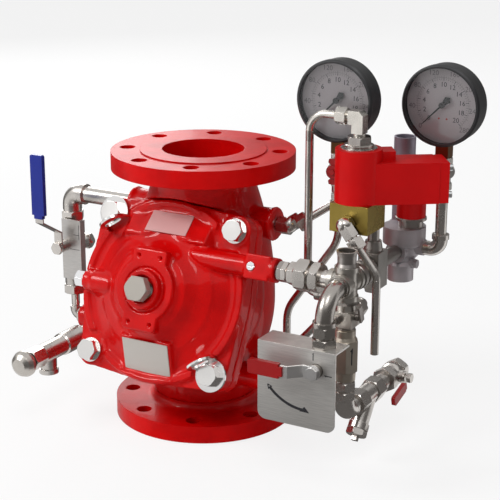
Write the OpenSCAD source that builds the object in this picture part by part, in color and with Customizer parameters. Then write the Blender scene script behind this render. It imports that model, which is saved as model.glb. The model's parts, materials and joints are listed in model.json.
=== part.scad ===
/* [Flanges] */
// Length over both raised faces
face_to_face = 347; // [335:1:365]
// Outside diameter of the two pipe flanges
flange_d = 229; // [224:1:236]
// Thickness of a flange without its raised face
flange_t = 22; // [18:1:26]
// Distance of the raised face's rim inside the flange's rim
raised_inset = 35.9; // [34:0.1:38]
// Height of the raised face
raised_h = 1.5; // [1:0.1:3]
// Distance of the bolt circle inside the flange's rim
bolt_inset = 19.25; // [17:0.25:20]
// Diameter of an inlet flange bolt hole
bolt_hole_d = 19; // [16:0.5:21]
// Diameter of an outlet flange bolt hole
outlet_hole_d = 19.5; // [16:0.5:21]
// Diameter of the waterway at the inlet
bore_d = 100; // [94:1:104]
// Diameter of the waterway at the outlet
outlet_d = 102; // [96:1:106]

/* [Body] */
// Outside diameter of the neck over the outlet flange
neck_d = 132; // [126:1:138]
// Radius of the barrel at its widest
barrel_r = 90; // [88:0.5:94]
// Height of the barrel's widest place
barrel_z = 155; // [150:1:160]
// Radius of the arc that the barrel's side follows under its widest place
belly_arc = 165; // [150:1:180]
// Radius of the arc that the barrel's side follows over its widest place
shoulder_arc = 460; // [430:5:500]
// Wall of the castings
wall = 9; // [7:0.5:10]
// Diameter of the passage from the inlet to the seat
seat_bore = 84; // [78:1:88]
// Height of the two upper side bosses
boss_z = 264; // [260:1:270]
// Distance of the upper side bosses' ends from the pipe axis
boss_reach = 104; // [102:1:108]
// Height of the drain arm's axis
arm_z = 94.5; // [90:0.5:98]
// Radius of the drain arm
arm_r = 16; // [15:0.5:18]

/* [Cover] */
// Backward tilt of the cover's face
tilt = 20; // [16:1:22]
// Distance of the joint's centre in front of the pipe axis
joint_out = 81.4; // [80:0.1:86]
// Height of the joint's centre
joint_z = 182.4; // [178:0.1:186]
// Radius of the cover's flange
cover_r = 112; // [110:1:116]
// Thickness of the cover's flange
cover_t = 20; // [17:1:23]
// Side of the square of cover bolts
bolt_square = 173; // [170:1:176]
// Diameter of a cover bolt's shank
cover_bolt_d = 16; // [12:1:16]
// Height of the cover's dome over the joint
dome_h = 52; // [50:1:55]
// Height of the machined pad over the joint
pad_h = 60; // [58:1:64]
// Outside radius of the pad's round part
pad_r = 39; // [36:1:42]
// Distance of the control duct's end from the middle
duct_end = 155; // [150:1:160]
// Radius of the control duct
duct_r = 12; // [11:0.5:13]
// Distance of the left port's end from the middle
port_end = 105; // [103:1:108]
// Travel of the clapper
lift = 18; // [12:1:20]

/* [Pipes] */
// Outside diameter of the half-inch pipe
half_pipe = 21.3; // [20:0.1:22]
// Outside diameter of the quarter-inch pipe
quarter_pipe = 13.7; // [13:0.1:14]
// Outside diameter of the control tubes
tube_d = 9.5; // [8:0.1:10]
// Outside diameter of the tube under the alarm valve
drip_tube = 11; // [10:0.1:12]
// Depth that a male end goes into a female one
grip = 8; // [6:0.5:9]
// Gap round a male end
gap = 0.05; // [0.02:0.01:0.1]
// Distance of the alarm riser from the pipe axis
riser_x = 203; // [200:1:210]
// Distance of the manifold from the pipe axis
manifold_x = 242; // [240:1:248]
// Distance from the manifold forward to the release valve
release_out = 55; // [54:1:60]
// Height of the elbow under the check valve
foot_z = 79; // [76:1:82]
// Distance from the manifold back to the relay valve
relay_back = 158; // [154:1:162]

/* [Gauges] */
// Outside diameter of a gauge
gauge_d = 96.5; // [90:0.5:100]
// Width of the rim round a gauge's dial
gauge_rim = 4.25; // [3.5:0.25:6]
// Height of the left gauge's lower edge
left_edge_z = 378.75; // [376.75:0.25:386.75]
// Height of the right gauge's lower edge
right_edge_z = 371.75; // [369.75:0.25:379.75]
// Angle that the pointers turn through
sweep = 270; // [240:5:300]

/* [Release panel] */
// Width of the panel
panel_w = 97; // [90:1:100]
// Height of the panel
panel_h = 94.5; // [90:0.5:100]
// Thickness of the panel's sheet
sheet = 2; // [1.5:0.1:2.5]

/* [Hidden] */
$fn = 64;

past = 1;
lap = 0.4;
hair = 0.12;
ball_gap = 0.3;
tube_r = tube_d / 2;
half_r = half_pipe / 2;
quarter_r = quarter_pipe / 2;
drip_r = drip_tube / 2;

x_axis = [1, 0, 0];
y_axis = [0, 1, 0];
z_axis = [0, 0, 1];

joint = [0, -joint_out, joint_z];
up_cover = [0, sin(tilt), cos(tilt)];
out_cover = [0, -cos(tilt), sin(tilt)];
function on_cover(u, v, w) = joint + u * x_axis + v * up_cover + w * out_cover;
function unit(a) = a / norm(a);

// Distance behind the joint at which the cover's axis meets the pipe's axis.
meet = joint_out / cos(tilt);
meet_z = joint_z - meet * sin(tilt);

// Height of the control duct, and of the manifold that hangs on it.
duct_v = 49;
duct_w = 27;
duct_mouth = on_cover(duct_end, duct_v, duct_w);

// Turns the +Z axis to a direction.
module look(d) rotate([0, acos(d[2] / norm(d)), atan2(d[1], d[0])]) children();

module cover_frame() translate(joint) rotate([90 - tilt, 0, 0]) children();

// A turned solid whose outline is given as [radius, height] points.
module turned(outline) rotate_extrude() polygon(outline);

// A hexagon bar with both rims chamfered; af is its size across flats.
module hex(af, h) {
    corner = af / sqrt(3);
    cut = 0.06 * af;
    intersection() {
        cylinder(r = corner, h = h, $fn = 6);
        turned([[0, 0], [corner - cut, 0], [corner + past, cut + past], [corner + past, h - cut - past],
            [corner - cut, h], [0, h]]);
    }
}

// Turn, seen along direction a, that brings the bend's plane to direction b.
function swing(a, b) = let (az = atan2(a[1], a[0]), tip = acos(a[2] / norm(a)))
    atan2([-sin(az), cos(az), 0] * b, [cos(tip) * cos(az), cos(tip) * sin(az), -sin(tip)] * b);
function corner_angle(a, b) = acos((a * b) / norm(a) / norm(b));

// A quarter or part of a ring that leaves along +Z and turns towards +X.
module bend(r, radius, angle)
    translate([radius, 0, 0]) mirror([1, 0, 0]) rotate([90, 0, 0])
        rotate_extrude(angle = angle) translate([radius, 0]) circle(r = r);

// A round bar along a chain of points, bent at each inner point to one radius or to its own of a
// list. The bends are a hair thinner, and the straight pieces run a hair into them.
module rod(path, r, radius)
    for (i = [0 : len(path) - 2]) {
        from_r = is_list(radius) ? radius[i - 1] : radius;
        to_r = is_list(radius) ? radius[i] : radius;
        d = path[i + 1] - path[i];
        first = i == 0;
        last = i == len(path) - 2;
        before = first ? 0 : from_r * tan(corner_angle(path[i] - path[i - 1], d) / 2) - lap;
        after = last ? 0 : to_r * tan(corner_angle(d, path[i + 2] - path[i + 1]) / 2) - lap;
        translate(path[i] + unit(d) * before) look(d) cylinder(r = r, h = norm(d) - before - after);
        if (!last)
            translate(path[i + 1] - unit(d) * (after + lap)) look(d)
                rotate([0, 0, swing(d, path[i + 2] - path[i + 1])])
                    bend(r - hair, to_r, corner_angle(d, path[i + 2] - path[i + 1]));
    }

// A bored pipe fitting about the origin: each arm is [direction, length, bore radius].
module fitting(arms, shell = 3, band = 1.5, band_w = 6)
    difference() {
        union() {
            sphere(r = max([for (a = arms) a[2]]) + shell + 0.5);
            for (a = arms) look(a[0]) {
                cylinder(r = a[2] + shell, h = a[1]);
                translate([0, 0, a[1] - band_w]) cylinder(r = a[2] + shell + band, h = band_w);
            }
        }
        for (a = arms) look(a[0]) {
            cylinder(r = 0.7 * a[2], h = a[1] + past);
            translate([0, 0, a[1] - grip]) cylinder(r = a[2] + gap, h = grip + past);
        }
    }

// Body of a small ball valve along Z, ball at the origin, stem towards -Y.
module ball_valve(up, down, r, af, up_r, down_r, ball_r, stem_r, neck, shoulder)
    difference() {
        union() {
            translate([0, 0, -down]) cylinder(r = r, h = up + down);
            translate([0, 0, up - 12]) hex(af, 12);
            translate([0, 0, -down]) hex(af, 12);
            rotate([90, 0, 0]) cylinder(r = stem_r + 3.5, h = neck);
            rotate([90, 0, 0]) cylinder(r = stem_r + 5, h = shoulder);
            sphere(r = r + 1.5);
        }
        sphere(r = ball_r + ball_gap);
        translate([0, 0, -down - past]) cylinder(r = 0.6 * ball_r, h = up + down + 2 * past);
        translate([0, 0, up - grip]) cylinder(r = up_r + gap, h = grip + past);
        translate([0, 0, -down - past]) cylinder(r = down_r + gap, h = grip + past);
        rotate([90, 0, 0]) cylinder(r = stem_r + gap, h = neck + past);
    }

// Ball with its waterway and its stem towards -Y.
module ball_and_stem(ball_r, stem_r, reach)
    difference() {
        union() {
            sphere(r = ball_r);
            rotate([90, 0, 0]) cylinder(r = stem_r, h = reach);
        }
        translate([0, 0, -ball_r - past]) cylinder(r = 0.6 * ball_r, h = 2 * (ball_r + past));
    }

// A strip lever on the stem's end: it rises to z = crank, leans forward by lean and ends at z = tip.
module strip_lever(stem_r, near, lean, crank, tip, width, thick, nut)
    translate([0, -near, 0]) difference() {
        union() {
            translate([-width / 2, 0, 0]) rotate([90, 0, 90]) linear_extrude(height = width)
                polygon([[0, 0], [0, crank / 2], [-lean, crank], [-lean, tip], [-lean - thick, tip],
                    [-lean - thick, crank - thick / 2], [-thick, crank / 2 - thick / 2], [-thick, 0]]);
            rotate([90, 0, 0]) cylinder(r = width * 0.62, h = thick);
            translate([0, -thick, 0]) rotate([90, 0, 0]) hex(nut, 5);
        }
        rotate([90, 0, 0]) translate([0, 0, -past]) cylinder(r = stem_r + gap, h = 3 + thick + past);
    }

// Outline of a bolted flange: a disc with four round lugs and straight webs to them.
module lug_outline(r, lug_r) {
    reach = bolt_square / sqrt(2);
    lean = acos((r - lug_r) / reach);
    circle(r = r);
    for (k = [0 : 3]) rotate(45 + 90 * k) {
        polygon([[0, 0], r * [cos(lean), -sin(lean)], [reach, 0] + lug_r * [cos(lean), -sin(lean)],
            [reach, 0] + lug_r * [cos(lean), sin(lean)], r * [cos(lean), sin(lean)]]);
        translate([reach, 0]) circle(r = lug_r);
    }
}

module at_cover_bolts() for (x = [-1, 1], y = [-1, 1])
    translate([x * bolt_square / 2, y * bolt_square / 2, 0]) children();

lug_r = 19;
body_flange_t = 16;
chamber_r = 94;
chamber_back = 45;
cover_gap = 1;
outlet_l = 122;
mouth_l = 50;
mouth_cone = 8;
seat_w = -30;
seat_ring_r = seat_bore / 2 + 7;
skin_r = seat_bore / 2 + wall;
boss_r = 19;
pilot_x = 105;
pilot_a = [pilot_x, 0, 92];
pilot_b = [pilot_x, -30, 72];
drip_x = 159;
arm_end = riser_x - 13;

// Section of the flanged body of revolution, without its bores.
module body_section() {
    base = raised_h + flange_t;
    neck_r = neck_d / 2;
    fillet = 8;
    square([neck_r, face_to_face]);
    intersection() {
        translate([barrel_r - belly_arc, barrel_z]) circle(r = belly_arc, $fn = 240);
        translate([0, base]) square([barrel_r + past, barrel_z - base]);
    }
    intersection() {
        translate([barrel_r - shoulder_arc, barrel_z]) circle(r = shoulder_arc, $fn = 360);
        translate([0, barrel_z]) square([barrel_r + past, face_to_face - base - barrel_z]);
    }
    for (top = [0, 1]) translate([0, top * face_to_face]) mirror([0, top]) {
        square([flange_d / 2 - raised_inset, raised_h]);
        translate([0, raised_h]) square([flange_d / 2, flange_t]);
        difference() {
            translate([0, base]) square([neck_r + fillet, fillet]);
            translate([neck_r + fillet, base + fillet]) circle(r = fillet);
        }
    }
}

// Rounded drum behind the joint that holds the outlet chamber.
module drum() {
    drum_r = chamber_r + wall;
    shoulder = 30;
    translate([0, 0, -chamber_back - shoulder]) cylinder(r = drum_r - shoulder, h = chamber_back + shoulder);
    translate([0, 0, -chamber_back]) cylinder(r = drum_r, h = chamber_back);
    intersection() {
        rotate_extrude() translate([drum_r - shoulder, -chamber_back]) circle(r = shoulder);
        translate([0, 0, -chamber_back - shoulder]) cylinder(r = drum_r, h = chamber_back + shoulder);
    }
}

module inlet_passage(r) {
    cylinder(r = r, h = meet_z);
    translate([0, 0, meet_z]) sphere(r = r + 0.5);
    translate([0, 0, meet_z]) rotate([90 - tilt, 0, 0]) cylinder(r = r, h = meet + seat_w);
}

module valve_body() color("crimson") difference() {
    union() {
        rotate_extrude() body_section();
        cover_frame() {
            drum();
            translate([0, 0, -body_flange_t]) linear_extrude(height = body_flange_t) lug_outline(cover_r, lug_r);
        }
        for (side = [-1, 1]) translate([0, 0, boss_z]) rotate([0, 90 * side, 0]) {
            cylinder(r = boss_r, h = boss_reach);
            translate([0, 0, boss_reach - 5]) cylinder(r = boss_r + 2, h = 3);
        }
        translate([0, 0, arm_z]) rotate([0, -90, 0]) cylinder(r = arm_r, h = arm_end);
        translate([-drip_x, 0, arm_z - 6]) rotate([90, 0, 0]) cylinder(r = arm_r, h = arm_r + 2);
        for (p = [pilot_a, pilot_b]) translate([pilot_x, p[1], p[2]]) rotate([0, -90, 0])
            cylinder(r = 14, h = 60);
    }
    cover_frame() linear_extrude(height = pad_h) lug_outline(cover_r + cover_gap, lug_r + cover_gap);
    difference() {
        union() {
            cover_frame() translate([0, 0, -chamber_back]) cylinder(r = chamber_r, h = chamber_back + past);
            translate([0, 0, face_to_face - outlet_l]) cylinder(d = seat_bore, h = outlet_l - mouth_l);
        }
        inlet_passage(skin_r);
    }
    inlet_passage(seat_bore / 2);
    translate([0, 0, face_to_face - mouth_l]) cylinder(d = outlet_d, h = mouth_l + past);
    translate([0, 0, face_to_face - mouth_l - mouth_cone])
        cylinder(d1 = seat_bore, d2 = outlet_d, h = mouth_cone);
    translate([0, 0, -past]) cylinder(d = bore_d, h = 55 + past);
    translate([0, 0, 55]) cylinder(d1 = bore_d, d2 = seat_bore, h = 20);
    cover_frame() translate([0, 0, seat_w - 6]) cylinder(r = seat_ring_r - 2 + gap, h = 6 + past);
    for (k = [0 : 7]) rotate(22.5 + 45 * k) translate([flange_d / 2 - bolt_inset, 0, 0]) {
        translate([0, 0, -past]) cylinder(d = bolt_hole_d, h = flange_t + raised_h + 2 * past);
        translate([0, 0, face_to_face - flange_t - raised_h - past])
            cylinder(d = outlet_hole_d, h = flange_t + raised_h + 2 * past);
    }
    cover_frame() at_cover_bolts() translate([0, 0, -body_flange_t - past])
        cylinder(r = cover_bolt_d / 2 + gap, h = body_flange_t + 2 * past);
    for (side = [-1, 1]) translate([side * boss_reach, 0, boss_z]) rotate([0, -90 * side, 0])
        translate([0, 0, -past]) cylinder(r = (side < 0 ? half_r : quarter_r) + gap, h = grip + past);
    translate([-arm_end, 0, arm_z]) rotate([0, 90, 0])
        translate([0, 0, -past]) cylinder(r = drip_r + gap, h = grip + past);
    translate([-drip_x, -arm_r - 2, arm_z - 6]) rotate([-90, 0, 0])
        translate([0, 0, -past]) cylinder(r = half_r + gap, h = grip + past);
    for (p = [pilot_a, pilot_b]) translate(p) rotate([0, -90, 0])
        translate([0, 0, -past]) cylinder(r = tube_r + gap, h = grip + past);
}

bush_r = 14;
bush_w = 34;
bush_h = 18;
shaft_r = 9;
shaft_top = bush_w + bush_h - 10;
plug_w = shaft_top + lift + 2;
boss_top = 69;
boss_out = 19.5;
plug_r = 10;
web_t = 3;
web_r = 98;
tag_lean = atan2(14, 25.4);
name_lean = atan2(21.5, 39.5);
dome_foot = 97;
dome_neck = 42;
spot_r = 25;

// Section of the cover's dome; inset shrinks it for the inner face.
module dome_section(inset)
    polygon([[0, 0], [dome_foot - inset, 0], [dome_foot - inset, cover_t - 1 - inset],
        [dome_neck - inset, dome_h - inset], [0, dome_h - inset]]);

// Cast seats that carry the two bare plates.
module at_tag() translate([0, 96, 21.5]) rotate([-tag_lean, 0, 0]) children();
module at_name() translate([1.2, -61.5, 41]) rotate([name_lean, 0, 0]) children();
module plate_seats() {
    at_tag() translate([-31, -32, -20]) cube([62, 34, 19.5]);
    at_name() translate([-35.5, -45, -24]) cube([71, 47.5, 23.5]);
}

// Room over the plates' seats, free of the dome and the rim.
module plate_room() {
    at_tag() translate([-31, -32, -0.5]) cube([62, 34, 20]);
    at_name() translate([-35.5, -45, -0.5]) cube([71, 47.5, 30]);
}

module pad_outline() {
    circle(r = pad_r);
    for (x = [-1, 1], y = [-1, 1]) translate([x * 17.5, y * 43]) circle(r = 6);
    square([47, 86], center = true);
    square([35, 98], center = true);
}

module valve_cover() color("red") cover_frame() difference() {
    union() {
        cylinder(r = cover_r, h = cover_t);
        rotate_extrude() translate([cover_r - 4.5, cover_t]) circle(r = 4.5);
        linear_extrude(height = cover_t - 4) lug_outline(cover_r, lug_r - 1);
        at_cover_bolts() cylinder(r = lug_r, h = cover_t - 2);
        rotate_extrude() dome_section(0);
        translate([0, 0, dome_h - 18]) linear_extrude(height = pad_h - dome_h + 18) pad_outline();
        intersection() {
            plate_seats();
            linear_extrude(height = pad_h) lug_outline(cover_r, lug_r - 1);
        }
        translate([0, duct_v, duct_w]) rotate([0, 90, 0]) cylinder(r = duct_r, h = duct_end);
        translate([duct_end - 6, duct_v, duct_w]) rotate([0, 90, 0]) cylinder(r = duct_r + 2.5, h = 6);
        translate([duct_end - 38, duct_v - 14.5, duct_w - 13.5]) cube([32.5, 29, 27]);
        translate([0, -2, duct_w - 1]) rotate([0, -90, 0]) cylinder(r = duct_r + 0.5, h = port_end);
        translate([0, -2, duct_w - 1]) rotate([0, -90, 0]) cylinder(r = duct_r + 3, h = 92);
    }
    difference() {
        rotate_extrude() dome_section(wall);
        translate([0, 0, bush_w - 2]) cylinder(r = bush_r + 6, h = dome_h);
    }
    plate_room();
    translate([-port_end, -2, duct_w - 1]) rotate([0, -90, 0]) cylinder(r = 12.5, h = 30);
    at_cover_bolts() translate([0, 0, cover_t - 2]) cylinder(r = spot_r, h = pad_h);
    translate([0, 0, -past]) cylinder(r = web_r + gap, h = web_t + past);
    translate([0, 0, dome_h - 1]) difference() {
        cylinder(r = 28, h = pad_h);
        cylinder(r = boss_out, h = boss_top - dome_h + 1);
    }
    translate([0, 0, -past]) cylinder(r = bush_r + gap, h = bush_w + bush_h + past);
    cylinder(r = shaft_r + 2, h = plug_w);
    translate([0, 0, plug_w]) cylinder(r = plug_r + gap, h = boss_top + pad_h);
    for (x = [-15, 15], y = [-40, 40]) translate([x, y, pad_h - 8]) cylinder(r = 2.6, h = 8 + past);
    at_cover_bolts() translate([0, 0, -past]) cylinder(r = cover_bolt_d / 2 + 0.5, h = cover_t);
    translate([60, duct_v, duct_w]) rotate([0, 90, 0]) cylinder(r = 5, h = duct_end);
    translate([duct_end - grip, duct_v, duct_w]) rotate([0, 90, 0]) cylinder(r = 8 + gap, h = grip + past);
    translate([-port_end + grip, -2, duct_w - 1]) rotate([0, -90, 0]) cylinder(r = 7 + gap, h = grip + past);
    translate([duct_end - 30, duct_v, duct_w + 6]) cylinder(r = 5 + gap, h = duct_r);
}

// The cover's boss carries the dome's stiffening: hexagon plugs and the slotted restrictor screw.
module cover_plugs() color("silver") cover_frame() {
    translate([0, 0, plug_w]) cylinder(r = plug_r, h = boss_top - plug_w);
    translate([0, 0, boss_top]) hex(28.5, 11.5);
    translate([-port_end + grip, -2, duct_w - 1]) rotate([0, -90, 0]) {
        cylinder(r = 7, h = grip);
        translate([0, 0, grip]) hex(19, 13);
    }
    translate([duct_end - 30, duct_v, duct_w + 6]) difference() {
        cylinder(r = 5, h = duct_r - 3.5);
        translate([-6, -0.6, duct_r - 5]) cube([12, 1.2, 3]);
    }
}

washer_t = 3;
module cover_bolts() color("gainsboro") cover_frame() for (x = [-1, 1], y = [-1, 1])
    translate([x * bolt_square / 2, y * bolt_square / 2, 0]) {
        translate([0, 0, -body_flange_t + 1]) cylinder(d = cover_bolt_d, h = body_flange_t - 1 + cover_t - 2 + washer_t);
        translate([0, 0, cover_t - 2 + washer_t]) hex(24, 10);
        if (x == y) translate([0, 0, cover_t - 2]) difference() {
            cylinder(r = 15, h = washer_t);
            translate([0, 0, -past]) cylinder(d = cover_bolt_d - past, h = washer_t + 2 * past);
        }
    }

// Angle plate under a bolt head; its upright leg has a long eye.
module lifting_eye() {
    eye_r = 17;
    eye_h = 16;
    turn = atan2(0.8, -0.6) - 90;
    fold = 17;
    difference() {
        union() {
            difference() {
                cylinder(r = 20, h = washer_t);
                rotate(turn + 90) translate([fold, -25, -past]) cube([10, 50, washer_t + 2 * past]);
            }
            rotate(turn + 90) translate([fold - washer_t, 0, 0]) rotate([0, 90, 0]) rotate([0, 0, 180])
                linear_extrude(height = washer_t) intersection() {
                    translate([0, -eye_r]) square([eye_h + eye_r, 2 * eye_r]);
                    union() {
                        translate([0, -eye_r]) square([eye_h, 2 * eye_r]);
                        translate([eye_h, 0]) circle(r = eye_r);
                    }
                }
        }
        translate([0, 0, -past]) cylinder(d = cover_bolt_d + 1, h = washer_t + 2 * past);
        rotate(turn + 90) translate([fold - washer_t - past, 0, 16]) rotate([0, 90, 0])
            linear_extrude(height = washer_t + 2 * past) {
                translate([-1, -4]) square([8, 8]);
                for (y = [-5, 5]) translate([0, y]) circle(r = 6.5);
                square([13, 10], center = true);
            }
        rotate(turn + 90) translate([-20, -20, washer_t]) cube([fold - washer_t + 20, 40, 20]);
    }
}

module lifting_eyes() color("silver") cover_frame() for (side = [0, 180]) rotate(side)
    translate([-bolt_square / 2, bolt_square / 2, cover_t - 2]) rotate(180) lifting_eye();

module data_plates() color("silver") cover_frame() {
    at_tag() translate([-28.75, -29, -0.5]) cube([57.5, 29, 1]);
    at_name() translate([-32, -43, -0.5]) cube([64, 43, 1]);
}

module seat_ring() color("goldenrod") cover_frame() translate([0, 0, seat_w - 6])
    turned([[seat_bore / 2, 0], [seat_ring_r - 2, 0], [seat_ring_r - 2, 6], [seat_ring_r, 6], [seat_ring_r, 8],
        [seat_bore / 2 + 4, 8], [seat_bore / 2 + 3, 10], [seat_bore / 2, 10]]);

disc_r = 55;
rubber_t = 5;
rubber_w = seat_w + 4;
module seat_rubber() color("black") cover_frame() translate([0, 0, rubber_w]) difference() {
    cylinder(r = disc_r - 4, h = rubber_t);
    translate([0, 0, -past]) cylinder(r = 14, h = rubber_t + 2 * past);
}

module clapper_disc() color("firebrick") cover_frame() translate([0, 0, rubber_w]) difference() {
    union() {
        translate([0, 0, rubber_t]) turned([[0, 0], [disc_r, 0], [disc_r, 5], [disc_r - 3, 8], [20, 10], [16, 14], [0, 14]]);
        cylinder(r = 14 - gap, h = rubber_t);
    }
    translate([0, 0, -past]) cylinder(r = shaft_r + gap, h = rubber_t + 14 + 2 * past);
}

module clapper_shaft() color("silver") cover_frame() {
    translate([0, 0, rubber_w]) cylinder(r = shaft_r, h = shaft_top - rubber_w);
    translate([0, 0, rubber_w - 6]) hex(26, 6);
}

module guide_bushing() color("goldenrod") cover_frame() translate([0, 0, bush_w]) difference() {
    cylinder(r = bush_r, h = bush_h);
    translate([0, 0, -past]) cylinder(r = shaft_r + gap, h = bush_h + 2 * past);
}

module diaphragm() color("dimgray") cover_frame()
    turned([[disc_r + 5, 0], [web_r, 0], [web_r, web_t], [disc_r + 5, web_t]]);

// Sleeve grip on a strip lever, with a slot for the strip.
module sleeve(near, lean, from, to, width, fat, strip_w, strip_t, tip)
    translate([0, -near - lean - strip_t / 2, 0]) difference() {
        rotate([90, 0, 0]) translate([0, 0, -fat / 2]) linear_extrude(height = fat) {
            for (x = [-1, 1]) translate([x * (width / 2 - 3), to - 3]) circle(r = 3);
            translate([3 - width / 2, to - 6]) square([width - 6, 6]);
            translate([-width / 2, from + width / 4]) square([width, to - from - width / 4 - 3]);
            translate([-width / 3, from]) square([width / 1.5, width]);
        }
        translate([-strip_w / 2 - gap, -strip_t / 2 - gap, from - past])
            cube([strip_w + 2 * gap, strip_t + 2 * gap, tip - from + gap + past]);
    }

alarm = [-riser_x, 0, 196];
alarm_up = boss_z - 24 - alarm[2];
alarm_down = 70;
alarm_near = 32;
alarm_lean = 38;
lever_t = 2;

module alarm_pipework() color("silver") {
    elbow_face = -riser_x + 23;
    rod([[-boss_reach + grip, 0, boss_z], [-riser_x, 0, boss_z], alarm + [0, 0, alarm_up - grip]], half_r, 15);
    rod([[elbow_face, 0, boss_z], [-riser_x, 0, boss_z], alarm + [0, 0, alarm_up]], half_r + 2, 15);
    translate([elbow_face, 0, boss_z]) rotate([0, -90, 0]) cylinder(r = half_r + 3, h = 6);
    rod([alarm - [0, 0, alarm_down - grip], [-riser_x, 0, arm_z], [-arm_end + grip, 0, arm_z]], drip_r, 9);
    rod([[-riser_x, 0, arm_z + 12], [-riser_x, 0, arm_z], [-arm_end, 0, arm_z]], drip_r + 2, 9);
    translate([-arm_end, 0, arm_z]) rotate([0, -90, 0]) hex(19, 6);
}

module alarm_valve_body() color("silver") translate(alarm) {
    ball_valve(alarm_up, alarm_down, 13, 27, half_r, drip_r, 9, 4, alarm_near - 1, 17);
    translate([0, 14, -6]) rotate([-90, 0, 0]) {
        cylinder(r = 8.5, h = 12);
        translate([0, 0, 12]) hex(20, 8);
    }
}

module alarm_ball() color("silver") translate(alarm) ball_and_stem(9, 4, alarm_near + 3 + lever_t);

module alarm_lever() color("silver") translate(alarm)
    strip_lever(4, alarm_near, alarm_lean, 44, 96, 12, lever_t, 15);

module alarm_grip() color("mediumblue") translate(alarm)
    sleeve(alarm_near, alarm_lean, 49, 133, 19, 6, 12, lever_t, 96);

// Bare sign plate behind the alarm valve's lever, its right edge folded back.
module sign_plate() color("silver") translate(alarm) difference() {
    translate([0, -17, 0]) union() {
        translate([-5, -1.5, -46]) cube([30, 1.5, 82]);
        translate([23.5, -1.5, -46]) cube([1.5, 10, 82]);
    }
    rotate([90, 0, 0]) cylinder(r = 7.5 + gap, h = 30);
}

drip = [-drip_x, -arm_r - 2, arm_z - 6];
drip_travel = 4;
knob_pin = 4;
drain_l = 15;
module drip_check_body() color("silver") translate(drip) rotate([90, 0, 0]) difference() {
    union() {
        translate([0, 0, -grip]) cylinder(r = half_r, h = 45 + grip);
        translate([0, 0, 37]) turned([[0, 0], [14.5, 0], [14.5, 37], [12.6, 39], [12.6, 82], [0, 82]]);
        translate([0, 0, 119]) hex(24, 23);
        translate([0, 0, 103]) rotate([90, 0, 0]) {
            cylinder(r = 10.5, h = 28);
            translate([0, 0, 22]) cylinder(r = 12.4, h = 6);
        }
    }
    translate([0, 0, -grip - past]) cylinder(r = 6, h = 60);
    translate([0, 0, 50]) cylinder(r = 9, h = 76);
    translate([0, 0, 120]) cylinder(r = knob_pin + gap, h = 40);
    translate([0, 0, 103]) rotate([90, 0, 0]) {
        cylinder(r = 7, h = 28);
        translate([0, 0, 28 - drain_l]) cylinder(r = 8.5, h = drain_l + past);
    }
}

module drip_check_knob() color("gray") translate(drip) rotate([90, 0, 0]) translate([0, 0, 142 + drip_travel + 0.3]) {
    translate([0, 0, -40]) cylinder(r = knob_pin, h = 42);
    translate([0, 0, -44]) cylinder(r = 7, h = 8);
    turned([[0, 0], [14, 0], [16.6, 3], [16.6, 7], [14, 13], [9, 17], [0, 19]]);
}

mx = manifold_x;
my = duct_mouth[1];
mz = duct_mouth[2];
arm_l = 20;
cross = [mx, my, mz];
module cover_union() color("silver") translate(duct_mouth) rotate([0, 90, 0]) {
    run_l = mx - arm_l - duct_end;
    translate([0, 0, -grip]) cylinder(r = 8, h = grip);
    cylinder(r = 9, h = run_l);
    translate([0, 0, 2]) hex(22, 12);
    translate([0, 0, 16]) hex(25, 9);
    translate([0, 0, 26]) hex(34, 16);
    translate([0, 0, 42]) cylinder(r = 13, h = 4);
    translate([0, 0, 45]) hex(32, 11);
    translate([0, 0, 56]) cylinder(r = half_r, h = run_l - 56 + grip);
}

module manifold_cross() color("gray") translate(cross)
    fitting([for (d = [-x_axis, z_axis, -y_axis, y_axis, -z_axis]) [d, arm_l, half_r]], 2, 1.3);

tee_side = 25;
tee_foot = 10.5;
tee_box = 18.5;
tee_half = 15.5;
short_grip = 5;
low = cross - [0, 0, arm_l + 4.5 + tee_half];
module manifold_plugs() color("silver") {
    translate(cross + [0, 0, arm_l]) difference() {
        turned([[0, -grip], [half_r, -grip], [half_r, 0], [12.5, 0], [10.7, 4], [10.9, 12], [12.3, 18], [0, 18]]);
        translate([0, 0, 6]) cylinder(r = 9.5, h = 13);
    }
    translate(low + [-5, -tee_side / 2, -1.5]) rotate([90, 0, 0]) {
        translate([0, 0, -6]) cylinder(r = 3.5, h = 6);
        hex(10, 5);
        translate([0, 0, 5]) cylinder(r = 4, h = 5);
    }
    translate(low + [tee_side / 2 - 4, 0, 1]) rotate([0, 90, 0]) {
        cylinder(r = 2.5, h = 11);
        translate([0, 0, 4.5]) cylinder(r = 4, h = 4);
    }
    translate(low + [tee_side / 2 + 6, 0, 1]) rotate([20, 0, 0]) translate([0, -4, -4]) cube([2.5, 8, 20]);
}

module lower_tee() color("dimgray") translate(low) difference() {
    union() {
        translate([-tee_side / 2, -tee_side / 2, -tee_foot]) cube([tee_side, tee_side, tee_box]);
        cylinder(r = tee_side / 2 - 0.5, h = tee_half);
        rotate([-90, 0, 0]) cylinder(r = 10, h = 26);
        translate([0, 26, 0]) rotate([-90, 0, 0]) hex(19, 12);
    }
    translate([0, 0, tee_half - grip]) cylinder(r = half_r + gap, h = grip + past);
    translate([0, 0, -tee_foot - past]) cylinder(r = half_r + gap, h = short_grip + past);
    translate([0, 0, -tee_half]) cylinder(r = 7, h = 2 * tee_half);
    rotate([-90, 0, 0]) cylinder(r = 3.5, h = 40);
    translate([0, 38 - grip, 0]) rotate([-90, 0, 0]) cylinder(r = tube_r + gap, h = grip + past);
    translate([-5, -tee_side / 2 + 6, -1.5]) rotate([90, 0, 0]) cylinder(r = 3.5 + gap, h = 6 + past);
    translate([tee_side / 2 - 4, 0, 1]) rotate([0, 90, 0]) cylinder(r = 2.5 + gap, h = 4 + past);
}

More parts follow.
